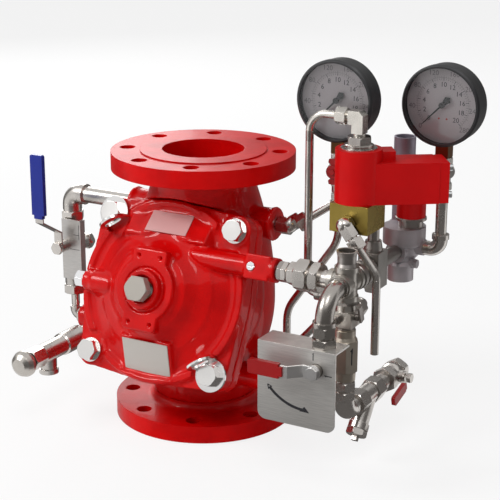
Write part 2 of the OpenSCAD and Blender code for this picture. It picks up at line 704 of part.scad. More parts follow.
check_top = low[2] - tee_half;
check_l = 61;
poppet_r = 8.5;
poppet_z = 18;
module check_valve_body() color("tan") translate([mx, my, check_top]) mirror([0, 0, 1]) difference() {
    union() {
        translate([0, 0, tee_foot - tee_half - short_grip]) cylinder(r = half_r, h = tee_half - tee_foot + short_grip + 2);
        turned([[0, 0], [12, 0], [12, 8], [13.5, 12], [13.5, 50], [13, 52], [12.5, check_l], [0, check_l]]);
        translate([0, 0, 12]) hex(28, 38);
    }
    translate([0, 0, -grip - past]) cylinder(r = 6, h = check_l + grip);
    translate([0, 0, check_l - 20 - poppet_z]) cylinder(r = poppet_r + gap, h = 20);
    translate([0, 0, check_l - grip]) cylinder(r = half_r + gap, h = grip + past);
}

module check_poppet() color("goldenrod") translate([mx, my, check_top - check_l + poppet_z]) {
    turned([[0, 0], [poppet_r, 0], [poppet_r, 6], [4, 9], [0, 9]]);
}

foot = [mx, my, foot_z];
strainer_near = 28;
strainer_l = 84;
strainer_r = 13;
module supply_elbow() color("silver") {
    top = check_top - check_l;
    rod([[mx, my, top + grip], foot, foot + [0, strainer_near + grip, 0]], half_r, 17);
    translate([mx, my, top - 24]) hex(24, 10);
    translate([mx, my, top - 12]) hex(24, 10);
    rod([[mx, my, foot_z + 21], foot, foot + [0, 20, 0]], half_r + 1.5, 17);
}

branch_root = 40;
branch_dir = [0, -cos(52), -sin(52)];
branch_l = 46;
screen_r = 6.5;
module strainer_body() color("silver") translate(foot + [0, strainer_near, 0]) {
    difference() {
        union() {
            rotate([-90, 0, 0]) hex(26, 20);
            rotate([-90, 0, 0]) cylinder(r = strainer_r - 1, h = strainer_l - 20);
            translate([0, strainer_l - 40, 0]) rotate([-90, 0, 0]) hex(26, 20);
            translate([0, strainer_l - 20, 0]) rotate([-90, 0, 0]) cylinder(r = half_r, h = 20 + grip);
            translate([0, branch_root, 0]) look(branch_dir) cylinder(r = 11, h = branch_l);
            translate([0, branch_root, 0]) look(branch_dir) translate([0, 0, branch_l - 8]) cylinder(r = 12.5, h = 8);
        }
        translate([0, -past, 0]) rotate([-90, 0, 0]) cylinder(r = half_r + gap, h = grip + past);
        rotate([-90, 0, 0]) cylinder(r = 6, h = strainer_l + grip + past);
        translate([0, branch_root, 0]) look(branch_dir) cylinder(r = 8, h = branch_l + past);
    }
    translate([0, branch_root, 0]) look(branch_dir) {
        translate([0, 0, branch_l - grip]) cylinder(r = 8 - gap, h = grip);
        translate([0, 0, branch_l]) hex(22, 8);
        translate([-3.5, -3.5, branch_l + 8]) cube([7, 7, 6]);
    }
}

module strainer_screen() color("lightgray") translate(foot + [0, strainer_near + branch_root, 0]) look(branch_dir)
    translate([0, 0, 12]) difference() {
        cylinder(r = screen_r, h = branch_l - grip - 12);
        translate([0, 0, -past]) cylinder(r = screen_r - 0.8, h = branch_l + past);
        for (turn = [0 : 30 : 150]) rotate(turn) translate([-screen_r - past, -0.6, 3])
            cube([2 * (screen_r + past), 1.2, branch_l - grip - 18]);
    }

valve_near = strainer_near + strainer_l;
prime_up = 24;
prime_down = 20;
prime = foot + [0, valve_near + prime_up, 0];
prime_near = 20;
prime_lean = 4;
prime_rest = 15;
module at_prime() translate(prime) rotate([90, -90, 0]) children();
module at_prime_ball() at_prime() rotate([0, -prime_rest, 0]) children();
module priming_valve_body() color("silver") at_prime()
    ball_valve(prime_up, prime_down, 13.5, 28, half_r, half_r, 9, 3.5, prime_near - 1, 16);
module priming_ball() color("silver") at_prime_ball() ball_and_stem(9, 3.5, prime_near + 3 + lever_t);
module priming_lever() color("silver") at_prime_ball() strip_lever(3.5, prime_near, prime_lean, 14, 36, 8, lever_t, 11);
module priming_grip() color("firebrick") at_prime_ball() sleeve(prime_near, prime_lean, 16, 52, 12, 5, 8, lever_t, 36);

release_y = my - release_out;
release_bend = release_out - arm_l - 5;
panel_top = 179.5;
nipple_h = 24;
release = [mx, release_y, panel_top - sheet - 21];
release_up = 21;
release_down = 61;
release_near = 24;
release_lean = 13;
panel_gap = 15;
module release_pipework() color("silver") {
    hub = [mx, release_y, panel_top];
    rod([cross - [0, arm_l - grip, 0], [mx, release_y, mz], hub - [0, 0, sheet + grip]], half_r, release_bend);
    translate(cross - [0, arm_l, 0]) rotate([90, 0, 0]) cylinder(r = half_r + 2, h = 4);
    translate(hub + [0, 0, nipple_h]) cylinder(r = half_r + 2.5, h = 5);
    translate(hub + [0, 0, 12]) hex(24, 12);
    translate(hub) hex(26, 10);
    translate(release) ball_valve(release_up, release_down, 13, 26, half_r, half_r, 9, 4, release_near - 1, panel_gap - 1);
}
module release_ball() color("silver") translate(release) rotate([0, -90, 0])
    ball_and_stem(9, 4, release_near + 3 + lever_t);
module release_lever() color("gray") translate(release) rotate([0, -90, 0])
    strip_lever(4, release_near, release_lean, 26, 56, 14, lever_t, 14);
module release_grip() color("firebrick") translate(release) rotate([0, -90, 0])
    sleeve(release_near, release_lean, 31, 74, 17, 6, 14, lever_t, 56);

module release_panel() color("silver") translate([mx, release_y, panel_top]) difference() {
    union() {
        translate([-74, -panel_gap, -panel_h]) rotate([90, 0, 0]) linear_extrude(height = sheet) {
            translate([0, 10]) square([panel_w, panel_h - 10]);
            translate([10, 0]) square([panel_w - 20, 10 + past]);
            for (x = [10, panel_w - 10]) translate([x, 10]) circle(r = 10);
        }
        translate([-74, -panel_gap - sheet, -sheet]) cube([panel_w, 35, sheet]);
    }
    translate([0, 0, -sheet - past]) cylinder(r = half_r + gap, h = sheet + 2 * past);
    translate([0, 0, release[2] - panel_top]) rotate([90, 0, 0]) cylinder(r = 8, h = 40);
}

relay_y = my + relay_back;
tee_y = -20;
tee2 = [mx, tee_y, mz];
block = [mx - 15, -33.5, 285];
block_top = 318;
gauge_port_z = 293;
drain_port_z = 297;
module manifold_nipples() color("gray") {
    translate(cross - [0, 0, arm_l]) mirror([0, 0, 1]) {
        translate([0, 0, -grip]) cylinder(r = half_r, h = 4.5 + 2 * grip);
        hex(25, 4.5);
    }
    translate(cross + [0, arm_l, 0]) rotate([-90, 0, 0]) {
        gap_l = tee2[1] - 13 - my - arm_l;
        translate([0, 0, -grip]) cylinder(r = half_r, h = gap_l + 2 * grip);
        for (k = [0 : 2]) translate([0, 0, 2 + k * (gap_l - 12) / 2]) 
            turned([[0, 0], [14, 0], [15, 1], [15, 7], [14, 8], [0, 8]]);
        cylinder(r = 13, h = gap_l);
    }
    translate(tee2 + [0, 0, 20]) {
        translate([0, 0, -grip]) cylinder(r = quarter_r, h = block[2] - mz - 20 + 2 * grip);
        turned([[0, 0], [11, 0], [11, 3], [9.5, 12], [0, 12]]);
    }
}

module relay_tee() color("dimgray") difference() {
    union() {
        translate(tee2 - [13, 13, 24]) cube([26, 26, 44]);
        translate(tee2) rotate([-90, 0, 0]) cylinder(r = 9, h = relay_y - 24 - tee_y + grip);
        translate(tee2 - [0, 0, 30]) hex(17, 6);
    }
    translate(tee2 - [0, 13 + past, 0]) rotate([-90, 0, 0]) cylinder(r = half_r + gap, h = grip + past);
    translate(tee2 + [0, 0, 20 - grip]) cylinder(r = quarter_r + gap, h = grip + past);
    translate(tee2) cylinder(r = 4, h = 20);
    translate(tee2 - [0, 13, 0]) rotate([-90, 0, 0]) cylinder(r = 5, h = relay_y - tee_y);
}

armature_r = 8;
plunger_r = 6;
plunger_z = block_top - 15;
coil_top = 380;
module solenoid_body() color("darkgoldenrod") difference() {
    union() {
        translate([block[0] - 24, block[1] - 23.5, block[2]]) cube([48, 47, block_top - block[2]]);
        translate([block[0], block[1], block_top]) cylinder(r = armature_r, h = coil_top - block_top + 1.5 + grip);
    }
    translate([block[0], block[1], plunger_z]) cylinder(r = plunger_r + gap, h = 64);
    translate([block[0], block[1], plunger_z - 10]) cylinder(r = 3, h = 100);
    translate([mx, tee_y, block[2] - past]) cylinder(r = quarter_r + gap, h = grip + past);
    translate([mx, tee_y, block[2]]) cylinder(r = 4, h = 16);
    translate([block[0], block[1] + 23.5 - grip, gauge_port_z]) rotate([-90, 0, 0]) cylinder(r = 5 + gap, h = grip + past);
    translate([block[0], block[1] - 23.5 + grip, drain_port_z]) rotate([90, 0, 0]) cylinder(r = 5 + gap, h = grip + past);
}

module solenoid_plunger() color("silver") translate([block[0], block[1], plunger_z])
    turned([[0, 0], [plunger_r, 0], [plunger_r, 44], [3, 44], [3, 52], [0, 52]]);

skin = 3;
arm_turn = 35;
lobe_r = 27;
housing_l = 90;
module housing_outline(inset, from, to) {
    circle(r = lobe_r - inset);
    rotate(arm_turn) translate([from, -22 + inset]) square([to - from, 44 - 2 * inset]);
}
module solenoid_coil() color("sienna") translate([block[0], block[1], block_top + skin]) difference() {
    cylinder(r = 21, h = coil_top - block_top - 2 * skin);
    translate([0, 0, -past]) cylinder(r = armature_r + gap, h = 70);
}
module solenoid_housing() color("red") translate([block[0], block[1], block_top]) {
    h = coil_top - block_top;
    arm_h = h - 14;
    difference() {
        union() {
            cylinder(r = lobe_r, h = h);
            linear_extrude(height = arm_h) housing_outline(0, 0, housing_l);
            rotate(arm_turn) translate([10, -4, arm_h - past]) cube([32, 26, 10 + past]);
        }
        translate([0, 0, skin]) cylinder(r = lobe_r - skin, h = h - 2 * skin);
        translate([0, 0, skin]) linear_extrude(height = arm_h - 2 * skin) housing_outline(skin, 0, housing_l - skin);
        translate([0, 0, -past]) cylinder(r = armature_r + gap, h = h + 2 * past);
    }
    rotate(arm_turn) translate([housing_l + gap, -21.5, 0.5]) {
        cube([11, 43, arm_h - 1]);
        for (z = [8, arm_h - 8]) translate([11, 8, z]) rotate([0, 90, 0]) difference() {
            cylinder(r = 3.5, h = 4);
            translate([-4, -0.5, 3]) cube([8, 1, 2]);
        }
    }
}

tall_x = mx - 78;
split = [mx - 53, block[1], low[2]];
split_l = 13;
module exhaust_tube() color("silver") {
    base = [block[0], block[1], coil_top];
    out_z = 35;
    difference() {
        union() {
            translate(base) cylinder(r = 21, h = 1.5);
            translate(base + [0, 0, 1.5]) turned([[0, 0], [17, 0], [17, 3], [15, 4], [0, 4]]);
            translate(base + [0, 0, 1.5]) hex(26, 12.5);
            translate(base + [0, 0, 14]) cylinder(r = 7, h = 4);
            translate(base + [0, 7, 0]) rotate([90, 0, 0]) linear_extrude(height = 14)
                polygon([[-12, out_z - 8], [-12, out_z + 8], [2, out_z + 8], [7, out_z + 3], [7, 17], [-7, 17],
                    [-7, out_z - 8]]);
            translate(base + [-10, 0, out_z]) rotate([0, -90, 0]) cylinder(r = 6, h = 8);
            translate(base + [-15, 0, out_z]) rotate([0, -90, 0]) hex(18, 13);
        }
        translate(base - [0, 0, past]) cylinder(r = armature_r + gap, h = 1.5 + grip + past);
    }
    rod([base + [-25, 0, out_z], [tall_x, base[1], base[2] + out_z], [tall_x, base[1], block[2]]], tube_r, 22);
    rod([[tall_x, base[1], block[2]], [tall_x, base[1], split[2]], split - [split_l - grip, 0, 0]], tube_r, 11);
}

drain_face = [block[0], block[1] - 23.5, drain_port_z];
drain_dir = unit([0.62, 0, -0.78]);
module drain_tube() color("silver") {
    knee = drain_face - [0, 11, 0];
    drop_x = mx + 27;
    drop_z = 149.5;
    difference() {
        union() {
            translate(drain_face + [0, grip, 0]) rotate([90, 0, 0]) cylinder(r = 5, h = grip + 2);
            translate(drain_face - [0, 1, 0]) rotate([90, 0, 0]) hex(17, 10);
            translate(knee) sphere(r = 9.5);
            translate(knee) look(drain_dir) {
                hex(17, 17);
                cylinder(r = 6, h = 22);
                translate([0, 0, 19]) hex(19, 13);
            }
            rod([knee + 30 * drain_dir, knee + drain_dir * ((drop_x - knee[0]) / drain_dir[0]), [drop_x, knee[1], drop_z]],
                tube_r, 16);
        }
        translate([drop_x, knee[1], drop_z - past]) cylinder(r = tube_r - 1, h = 12 + past);
    }
}

left_column = [mx - 55, 0, 0];
right_column = [mx + 48, relay_y, 0];
gauge_tee = [left_column[0], left_column[1], gauge_port_z];
cap_axis = [mx + 9, relay_y, 318];
module tube_nut(at, d, af = 17, h = 12) translate(at) look(d) hex(af, h);
module trim_tubes() color("silver") {
    port = [boss_reach, 0, boss_z];
    lean = unit(cap_axis + [0, 0, 32] - port - [29, 0, 4]);
    start = port + [29, 0, 4];
    translate(port - [grip, 0, 0]) rotate([0, 90, 0]) cylinder(r = quarter_r, h = grip + 3);
    translate(port + [3, 0, 0]) rotate([0, 90, 0]) hex(19, 17);
    translate(port + [18, 0, 2]) sphere(r = 10);
    translate(port + [18, 0, 2]) look(lean) hex(17, 14);
    tube_nut(start, lean, 19, 13);
    rod([start, cap_axis + [0, 0, 32], cap_axis], tube_r, 14);
    tube_nut(cap_axis, z_axis, 16, 12);

    rod([gauge_tee - [0, 0, 16 - grip], gauge_tee - [0, 0, 38], [pilot_x + 14, 0, 157], [pilot_x + 14, 0, pilot_a[2]],
        pilot_a - [grip, 0, 0]], tube_r, [45, 45, 12]);
    tube_nut(pilot_a, x_axis, 17, 6);
    tube_nut(gauge_tee - [0, 0, 16], -z_axis, 17, 8);
    rod([split - [0, 0, split_l - grip], split - [0, 0, 26], [mx - 92, split[1] + 4, 128],
        [pilot_x + 34, pilot_b[1], pilot_b[2]], pilot_b - [grip, 0, 0]], tube_r, 14);
    tube_nut(pilot_b, x_axis, 17, 14);
    rod([low + [0, 38 - grip, 0], [low[0], split[1], low[2]], split + [split_l - grip, 0, 0]], tube_r, 12);
    translate(split) fitting([for (d = [-x_axis, x_axis, -z_axis]) [d, split_l, tube_r]], 2.5, 1);
    hook = [block[0], left_column[1], gauge_tee[2]];
    rod([gauge_tee + [16 - grip, 0, 0], hook, hook - [0, left_column[1] - block[1] - 23.5 + grip, 0]], 5, 6);
    tube_nut(gauge_tee + [16, 0, 0], x_axis, 15, 12);
}

relay = [mx + 1, relay_y, mz];
piston_r = 10.5;
chamber_z = 247;
relay_top = 266;
relay_foot = 200;
vent = [mx - 14, relay_y + 28, 262];
right_cock_l = 39;
left_gauge_z = left_edge_z + gauge_d / 2;
right_gauge_z = right_edge_z + gauge_d / 2;
socket_h = 15.5;
module relay_body() color("gray") difference() {
    union() {
        translate([relay[0], relay[1], 225]) turned([[0, 0], [14, 0], [20, 7], [20, 16], [26, 20],
            [26, relay_top - 225], [0, relay_top - 225]]);
        translate([relay[0], relay[1] - 8, relay_foot]) turned([[0, 0], [15.8, 0], [15.8, 20], [13, 24], [13, 30], [0, 30]]);
        translate([mx, relay_y, mz]) rotate([90, 0, 0]) cylinder(r = 13, h = 24);
        translate([relay[0], relay_y, mz + 4]) rotate([0, 90, 0]) cylinder(r = 10, h = 27);
        translate([vent[0], vent[1], vent[2] - 24]) cylinder(r = 16, h = 24);
        translate([vent[0] + 8, vent[1] - 16, vent[2] - 22]) cylinder(r = 14, h = 18);
        translate([relay[0] + 12, relay_y - 8, 222]) rotate([0, 90, 0]) cylinder(r = 6, h = 6);
        translate([relay[0] + 18, relay_y - 8, 222]) rotate([0, 90, 0]) hex(10, 4);
    }
    translate([mx, relay_y - 24, mz]) rotate([90, 0, 0]) translate([0, 0, -grip]) cylinder(r = 9 + gap, h = grip + 4);
    translate([mx, relay_y - 24, mz]) rotate([-90, 0, 0]) cylinder(r = 5, h = 24);
    translate([relay[0], relay[1] - 8, relay_foot - past]) cylinder(r = 12, h = 22);
    translate([relay[0], relay[1] - 4, 218]) cylinder(r = 5, h = 32);
    translate([cap_axis[0], relay_y, chamber_z]) cylinder(r = piston_r + gap, h = relay_top - chamber_z + past);
    translate([relay[0] + 27 - grip, relay_y, mz + 4]) rotate([0, 90, 0]) cylinder(r = quarter_r + gap, h = grip + past);
    translate([vent[0], vent[1], vent[2] - grip]) cylinder(r = 13.3 + gap, h = grip + relay_top - vent[2] + past);
}

module relay_cap() color("red") difference() {
    translate([cap_axis[0], relay_y, relay_top]) turned([[0, 0], [15, 0], [15, 9], [19, 9], [19, 12], [17.7, 12], [17.7, 50],
        [16, 52], [0, 52]]);
    translate([cap_axis[0], relay_y, relay_top - past]) cylinder(r = 4 + gap, h = 18);
    translate([cap_axis[0], relay_y, relay_top + 52 - grip]) cylinder(r = tube_r + gap, h = grip + past);
}

module relay_piston() color("goldenrod") translate([cap_axis[0], relay_y, chamber_z]) {
    cylinder(r = piston_r, h = 10);
    cylinder(r = 4, h = 28);
}

module relay_pipes() color("silver") {
    knee = [right_column[0], relay_y, mz + 4];
    rod([[relay[0] + 27 - grip, relay_y, knee[2]], knee,
        [knee[0], knee[1], right_edge_z - socket_h - right_cock_l + grip]], quarter_r, 13);
    rod([knee - [20, 0, 0], knee, knee + [0, 0, 20]], quarter_r + 2, 13);
    translate(knee + [0, 0, 14]) cylinder(r = quarter_r + 3.5, h = 6);
    translate([vent[0], vent[1], vent[2] - grip]) difference() {
        cylinder(r = 13.3, h = 107 + grip);
        translate([0, 0, 2]) cylinder(r = 11, h = 107 + grip);
    }
}

gauge_back = 23;
dial_floor = 3;
gauge_front = 8;
dial_out = 12;
dial_d = gauge_d - 2 * gauge_rim;
module at_gauges() {
    translate(left_column + [0, -dial_out, left_gauge_z]) rotate([90, 0, 0]) children();
    translate(right_column + [0, -dial_out, right_gauge_z]) rotate([90, 0, 0]) children();
}
lens_z = 5;
module gauge_cases() color("black") at_gauges() difference() {
    turned([[0, -gauge_back], [gauge_d / 2 - 4, -gauge_back], [gauge_d / 2 - 1, -gauge_back + 3],
        [gauge_d / 2 - 1, -2], [gauge_d / 2, -1], [gauge_d / 2, gauge_front - 2], [gauge_d / 2 - 2, gauge_front],
        [dial_d / 2, gauge_front], [dial_d / 2, lens_z + 2], [dial_d / 2 + 1, lens_z + 2], [dial_d / 2 + 1, -dial_floor],
        [0, -dial_floor]]);
    translate([0, 0, -10]) cylinder(r = 1.5 + gap, h = 10);
    translate([0, -gauge_d / 2 - past, -dial_out]) rotate([-90, 0, 0]) cylinder(r = 7 + gap, h = 8 + past);
}
module gauge_dials() color("gainsboro") at_gauges() translate([0, 0, -dial_floor]) difference() {
    cylinder(d = dial_d + 2 - 2 * gap, h = 1);
    translate([0, 0, -past]) cylinder(r = 2, h = 3);
}
module gauge_lenses() color("white", 0.3) at_gauges() translate([0, 0, lens_z]) cylinder(d = dial_d + 2 - 2 * gap, h = 2);
module gauge_sockets() color("peru")
    for (edge = [left_column + [0, 0, left_edge_z], right_column + [0, 0, right_edge_z]]) translate(edge) {
        translate([-8, -8, -socket_h]) cube([16, 16, socket_h - 0.5]);
        translate([0, 0, -1]) cylinder(r = 7, h = 8);
        translate([0, 0, -socket_h - grip]) cylinder(r = 6, h = grip + 1);
    }
// Wide-tailed pointer that rests towards the lower left.
module pointer() {
    translate([0, 0, -8]) cylinder(r = 1.5, h = 10);
    translate([0, 0, 1]) cylinder(r = 3.5, h = 2);
    translate([0, 0, 1.5]) rotate(90 + sweep / 2) linear_extrude(height = 0.8)
        polygon([[0, 1.2], [34, 0.3], [36, 0], [34, -0.3], [0, -1.2], [-10, -4.5], [-14, 0], [-10, 4.5]]);
}
module left_pointer() color("black") translate(left_column + [0, -dial_out, left_gauge_z]) rotate([90, 0, 0]) pointer();
module right_pointer() color("black") translate(right_column + [0, -dial_out, right_gauge_z]) rotate([90, 0, 0]) pointer();

cock_r = 5;
cock_drop = 19.5;
left_cock_l = 47;
module cock(column, edge_z, length) {
    top = edge_z - socket_h;
    bottom = top - length;
    middle = top - cock_drop;
    translate([column[0], column[1], 0]) difference() {
        union() {
            translate([0, 0, bottom]) cylinder(r = 9, h = top - bottom);
            translate([0, 0, top - 8]) hex(20, 8);
            translate([0, 0, top - 39]) hex(20, 8);
            translate([0, 12, middle]) rotate([90, 0, 0]) cylinder(r = 10, h = 25);
        }
        translate([0, 0, top - grip]) cylinder(r = 6 + gap, h = grip + past);
        translate([0, 0, bottom - past]) cylinder(r = 3, h = top - bottom);
        translate([0, 8, middle]) rotate([90, 0, 0]) cylinder(r = cock_r + gap, h = 30);
        translate([0, 0, bottom - past]) cylinder(r = quarter_r + gap, h = grip + past);
    }
}
module cock_bodies() color("silver") {
    cock(left_column, left_edge_z, left_cock_l);
    cock(right_column, right_edge_z, right_cock_l);
    translate(gauge_tee) fitting([[z_axis, 12, quarter_r], [-z_axis, 16, tube_r], [x_axis, 16, 5]], 3, 1);
    translate(gauge_tee + [0, 0, 12 - grip]) cylinder(r = quarter_r,
        h = left_edge_z - socket_h - left_cock_l - gauge_tee[2] - 12 + 2 * grip);
    translate(gauge_tee + [0, 0, 14]) hex(18, 7);
}
// Butterfly handle on its plug: a ring with two wings.
module butterfly() {
    rotate([90, 0, 0]) {
        translate([0, 0, -8]) cylinder(r = cock_r, h = 24);
        translate([0, 0, 14]) cylinder(r = 8, h = 6);
        translate([0, 0, 15.5]) linear_extrude(height = 3) for (turn = [90, 270]) rotate(turn)
            polygon([[0, -4], [8, -3], [11, -6], [15, -5], [15.5, 0], [15, 5], [11, 6], [8, 3], [0, 4]]);
        translate([0, 0, 20]) cylinder(r = 3.5, h = 2);
    }
}
module at_cock(column, edge_z) translate([column[0], column[1], edge_z - socket_h - cock_drop]) children();
module left_cock_handle() color("firebrick") at_cock(left_column, left_edge_z) butterfly();
module right_cock_handle() color("dimgray") at_cock(right_column, right_edge_z) butterfly();

valve_body();
valve_cover();
cover_bolts();
lifting_eyes();
cover_plugs();
data_plates();
seat_ring();
clapper_disc();
seat_rubber();
clapper_shaft();
guide_bushing();
diaphragm();
alarm_pipework();
alarm_valve_body();
alarm_ball();
alarm_lever();
alarm_grip();
sign_plate();
drip_check_body();
drip_check_knob();
cover_union();
manifold_cross();
manifold_plugs();
release_pipework();
release_ball();
release_lever();
release_grip();
release_panel();
lower_tee();
check_valve_body();
check_poppet();
supply_elbow();
strainer_body();
strainer_screen();
priming_valve_body();
priming_ball();
priming_lever();
priming_grip();
manifold_nipples();
relay_tee();
solenoid_body();
solenoid_coil();
solenoid_plunger();
solenoid_housing();
exhaust_tube();
drain_tube();
trim_tubes();
relay_body();
relay_cap();
relay_piston();
relay_pipes();
gauge_cases();
gauge_dials();
gauge_lenses();
gauge_sockets();
left_pointer();
right_pointer();
cock_bodies();
left_cock_handle();
right_cock_handle();
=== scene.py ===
"""Dresses a flanged control valve: finishes, castings, dials, plates, threads and a plain studio."""

import json
import math

import bmesh
import bpy
import numpy as np
from bpy.props import FloatProperty, FloatVectorProperty, IntProperty, PointerProperty
from mathutils import Matrix, Vector


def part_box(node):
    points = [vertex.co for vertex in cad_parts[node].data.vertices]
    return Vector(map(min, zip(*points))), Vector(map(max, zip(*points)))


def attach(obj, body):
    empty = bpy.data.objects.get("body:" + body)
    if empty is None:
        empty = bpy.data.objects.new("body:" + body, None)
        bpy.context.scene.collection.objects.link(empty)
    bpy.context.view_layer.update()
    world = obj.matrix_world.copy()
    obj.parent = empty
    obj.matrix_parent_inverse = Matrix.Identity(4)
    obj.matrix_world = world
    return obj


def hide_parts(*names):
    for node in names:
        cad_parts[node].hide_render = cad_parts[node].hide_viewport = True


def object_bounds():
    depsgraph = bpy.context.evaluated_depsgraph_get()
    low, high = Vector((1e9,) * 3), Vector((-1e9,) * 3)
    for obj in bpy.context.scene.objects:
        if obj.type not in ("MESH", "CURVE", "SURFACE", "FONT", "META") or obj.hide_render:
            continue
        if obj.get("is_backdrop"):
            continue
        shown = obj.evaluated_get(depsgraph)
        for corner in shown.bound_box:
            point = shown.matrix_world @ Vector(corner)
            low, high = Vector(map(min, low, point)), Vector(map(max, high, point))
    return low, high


bl_info = {
    "name": "Control Valve Dressing",
    "version": (1, 0, 0),
    "blender": (4, 5, 0),
    "location": "View3D > Sidebar > Valve",
    "description": "Finishes, castings, dials, plates and studio for a flanged control valve",
    "category": "Object",
}

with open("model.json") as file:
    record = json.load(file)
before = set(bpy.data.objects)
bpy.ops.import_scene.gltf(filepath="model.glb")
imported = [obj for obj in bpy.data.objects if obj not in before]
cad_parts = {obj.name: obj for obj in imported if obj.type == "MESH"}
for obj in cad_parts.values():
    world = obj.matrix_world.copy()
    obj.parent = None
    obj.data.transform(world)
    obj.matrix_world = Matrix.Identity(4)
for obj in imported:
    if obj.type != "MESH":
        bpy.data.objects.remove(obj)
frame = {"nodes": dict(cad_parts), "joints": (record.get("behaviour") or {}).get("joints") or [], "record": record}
CAD_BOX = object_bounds()
NODES = frame["nodes"]
Z_AXIS = Vector((0, 0, 1))
FULL_TURN = 2 * math.pi

# Thickness of everything printed
PRINT = 0.00012
RING_STEPS = 96
ARC_STEP = math.radians(5)

# The thread under the lower tee
HALF_PIPE = 0.01065
THREAD_STEPS = 24
THREAD_PITCH = 0.0018
THREAD_DEPTH = (-0.0003, 0.0007)
THREAD_DROP = 0.0048

# The dials: ticks are their inner and outer share of the radius, and their width in metres
DIAL_RADIUS = 0.044
DIAL_BEHIND = 0.002
DIAL_SWEEP = (math.radians(-45), math.radians(225))
FINE_TICKS = (0.660, 0.70, 0.0003)
NUMBERED_TICKS = (0.645, 0.72, 0.0006)
NUMBER_SHARE = 0.54
OUTER_TICKS = ((57, 0.735, 0.765, 0.0003), (15, 0.735, 0.785, 0.0005))
OUTER_NUMBERS = range(0, 281, 40)
OUTER_NUMBER_SHARE = 0.88
OUTER_LINE = 0.7275
DOT_PLACES = ((-0.10, -0.37), (0.12, -0.37))
DOT_RADIUS = 0.0012

# The solenoid's housing and its two screws
HOUSING_FOOT = Vector((0.227, -0.0335, 0.318))
HOUSING_TURN = math.radians(35)
SCREW_HEIGHTS = (0.0085, 0.0405)
SCREW_PLACE = (0.1010, -0.0135)
SCREW_HEAD = (0.0040, 0.0052)
SOCKET_WALL = 0.0018
SOCKET_DEPTH = 0.002
SCREW_EDGE = 0.0003

# Marks on the release panel, from its upper right corner and from the lever's hub
PANEL_HUB = 0.023
SWING_CENTRE = (-0.0143, 0.0091, 0)
SWING_RADIUS = 0.0597
SWING_WIDTH = 0.0034
SWING_TURN = (math.radians(222), math.radians(270))
SWING_HEAD = 0.0044
PRONG_REACH = 0.0014
PRONG_TURN = 0.5
PRONG_SIZE = (0.0012, 0.006)

# Each short arrow as the middle and size of its line, its tip from that middle, and its direction
SHORT_ARROWS = (
    ((-0.0043, 0.0147), (0.001, 0.0075), (0, 0.0038), math.pi / 2),
    ((0.0151, -0.0043), (0.008, 0.001), (-0.0039, 0), math.pi),
)
SHORT_HEAD = 0.0014

# The sign plate's lines as middle and size, from a point beside its right edge
SIGN_INSET = 0.010
SIGN_LEVEL = 0.192
SIGN_LINES = (
    ((0, 0), (0.015, 0.0007)),
    ((0.003, 0.020), (0.009, 0.0007)),
    ((0.0072, 0.024), (0.0007, 0.020)),
)

# The flow arrow on the check valve
ARROW_LEVEL = 0.151
ARROW_REACH = 0.014
ARROW_TURN = math.radians(60)
ARROW_LINE = (0.0017, 0.017)
ARROW_TIP = 0.009
ARROW_HEAD = 0.0026

# The cover's frame: X across, Y up the cover and Z out of its joint with the body
COVER_TILT = math.radians(20)
COVER_JOINT = Vector((0, -0.0814, 0.1824))
COVER_FRAME = Matrix.Translation(COVER_JOINT) @ Matrix.Rotation(math.pi / 2 - COVER_TILT, 4, "X")
JOINT_SKIN = 0.001
BORE_REACH = 0.053
BOLT_REACH = 0.0865
BOLT_SEAT = 0.0211
BOLT_FLATS = 0.024
BOLT_HEAD = 0.0101
BOLT_CHAMFER = 0.0026

# Each ring round the middle boss as inner and outer radius, foot and top
BOSS_RINGS = ((0.0166, 0.0235, 0.050, 0.0675), (0.0225, 0.0290, 0.048, 0.0565))
TAG_SEAT = (0, 0.096, 0.0215)
TAG_LEAN = math.atan2(14, 25.4)
BRIDGE_PLACE = (0, -0.0165, -0.012)
BRIDGE_SIZE = (0.136, 0.035, 0.020)
BRIDGE_TAPER = 0.82
PAD_TOP = 0.0585
PAD_REACH = 0.06

# The cover's cone in the solid, and the profile of the dish that it becomes
CONE_RADII = (0.042, 0.097)
CONE_HEIGHTS = (0.052, 0.019)
CONE_SKIN = 0.0016
CONE_BAND = (0.043, 0.097)
DISH_RADII = (0.042, 0.049, 0.054, 0.060, 0.068, 0.0755, 0.0775, 0.090, 0.097)
DISH_HEIGHTS = (0.052, 0.0495, 0.0440, 0.0380, 0.0340, 0.0312, 0.0290, 0.0225, 0.019)
BEAD_RADII = (0.1025, 0.1125)
BEAD_HEIGHTS = (0.0228, 0.0246)
RIGHT_DUCT = 0.049
LEFT_DUCT = -0.002
DUCT_REACH = 0.016
SEAT_REACH = 0.037

# Rounds of filling corners between two looks at the normals
NORMAL_EVERY = 6

# Levels and places at which finishes change
FLANGE_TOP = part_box("valve_body")[1].z
MACHINED = 0.003
FLANGE_FROM_MIDDLE = 0.148
UNION_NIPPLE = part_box("cover_union")[0].x + 0.016
EXHAUST_BANDS = (0.3815, 0.394)
RELAY_NECK = 0.2785
PLATE_PARTING = 0.2
SMALL_PLUGS = 0.05

# Share of the floor's white that is its own and not the lamps'
FLOOR_WHITE = 0.82

# Each lamp's name, place, size and share of the main lamp's power
LAMPS = (
    ("key_lamp", (-1.8, -1.9, 2.2), (1.2, 1.0), 1.0),
    ("top_lamp", (0.9, -1.6, 2.8), (1.0, 1.0), 0.35),
    ("back_lamp", (-1.95, 1.9, 1.3), (1.4, 1.0), 0.5),
)
LAMP_AIM = (0.05, -0.02, 0.22)
CAMERA_PLACE = (0.9045, -1.4870, 0.7504)
CAMERA_RIGHT = Vector((0.8708, 0.4916, 0.0022))
CAMERA_UP = Vector((-0.1463, 0.2550, 0.9558))

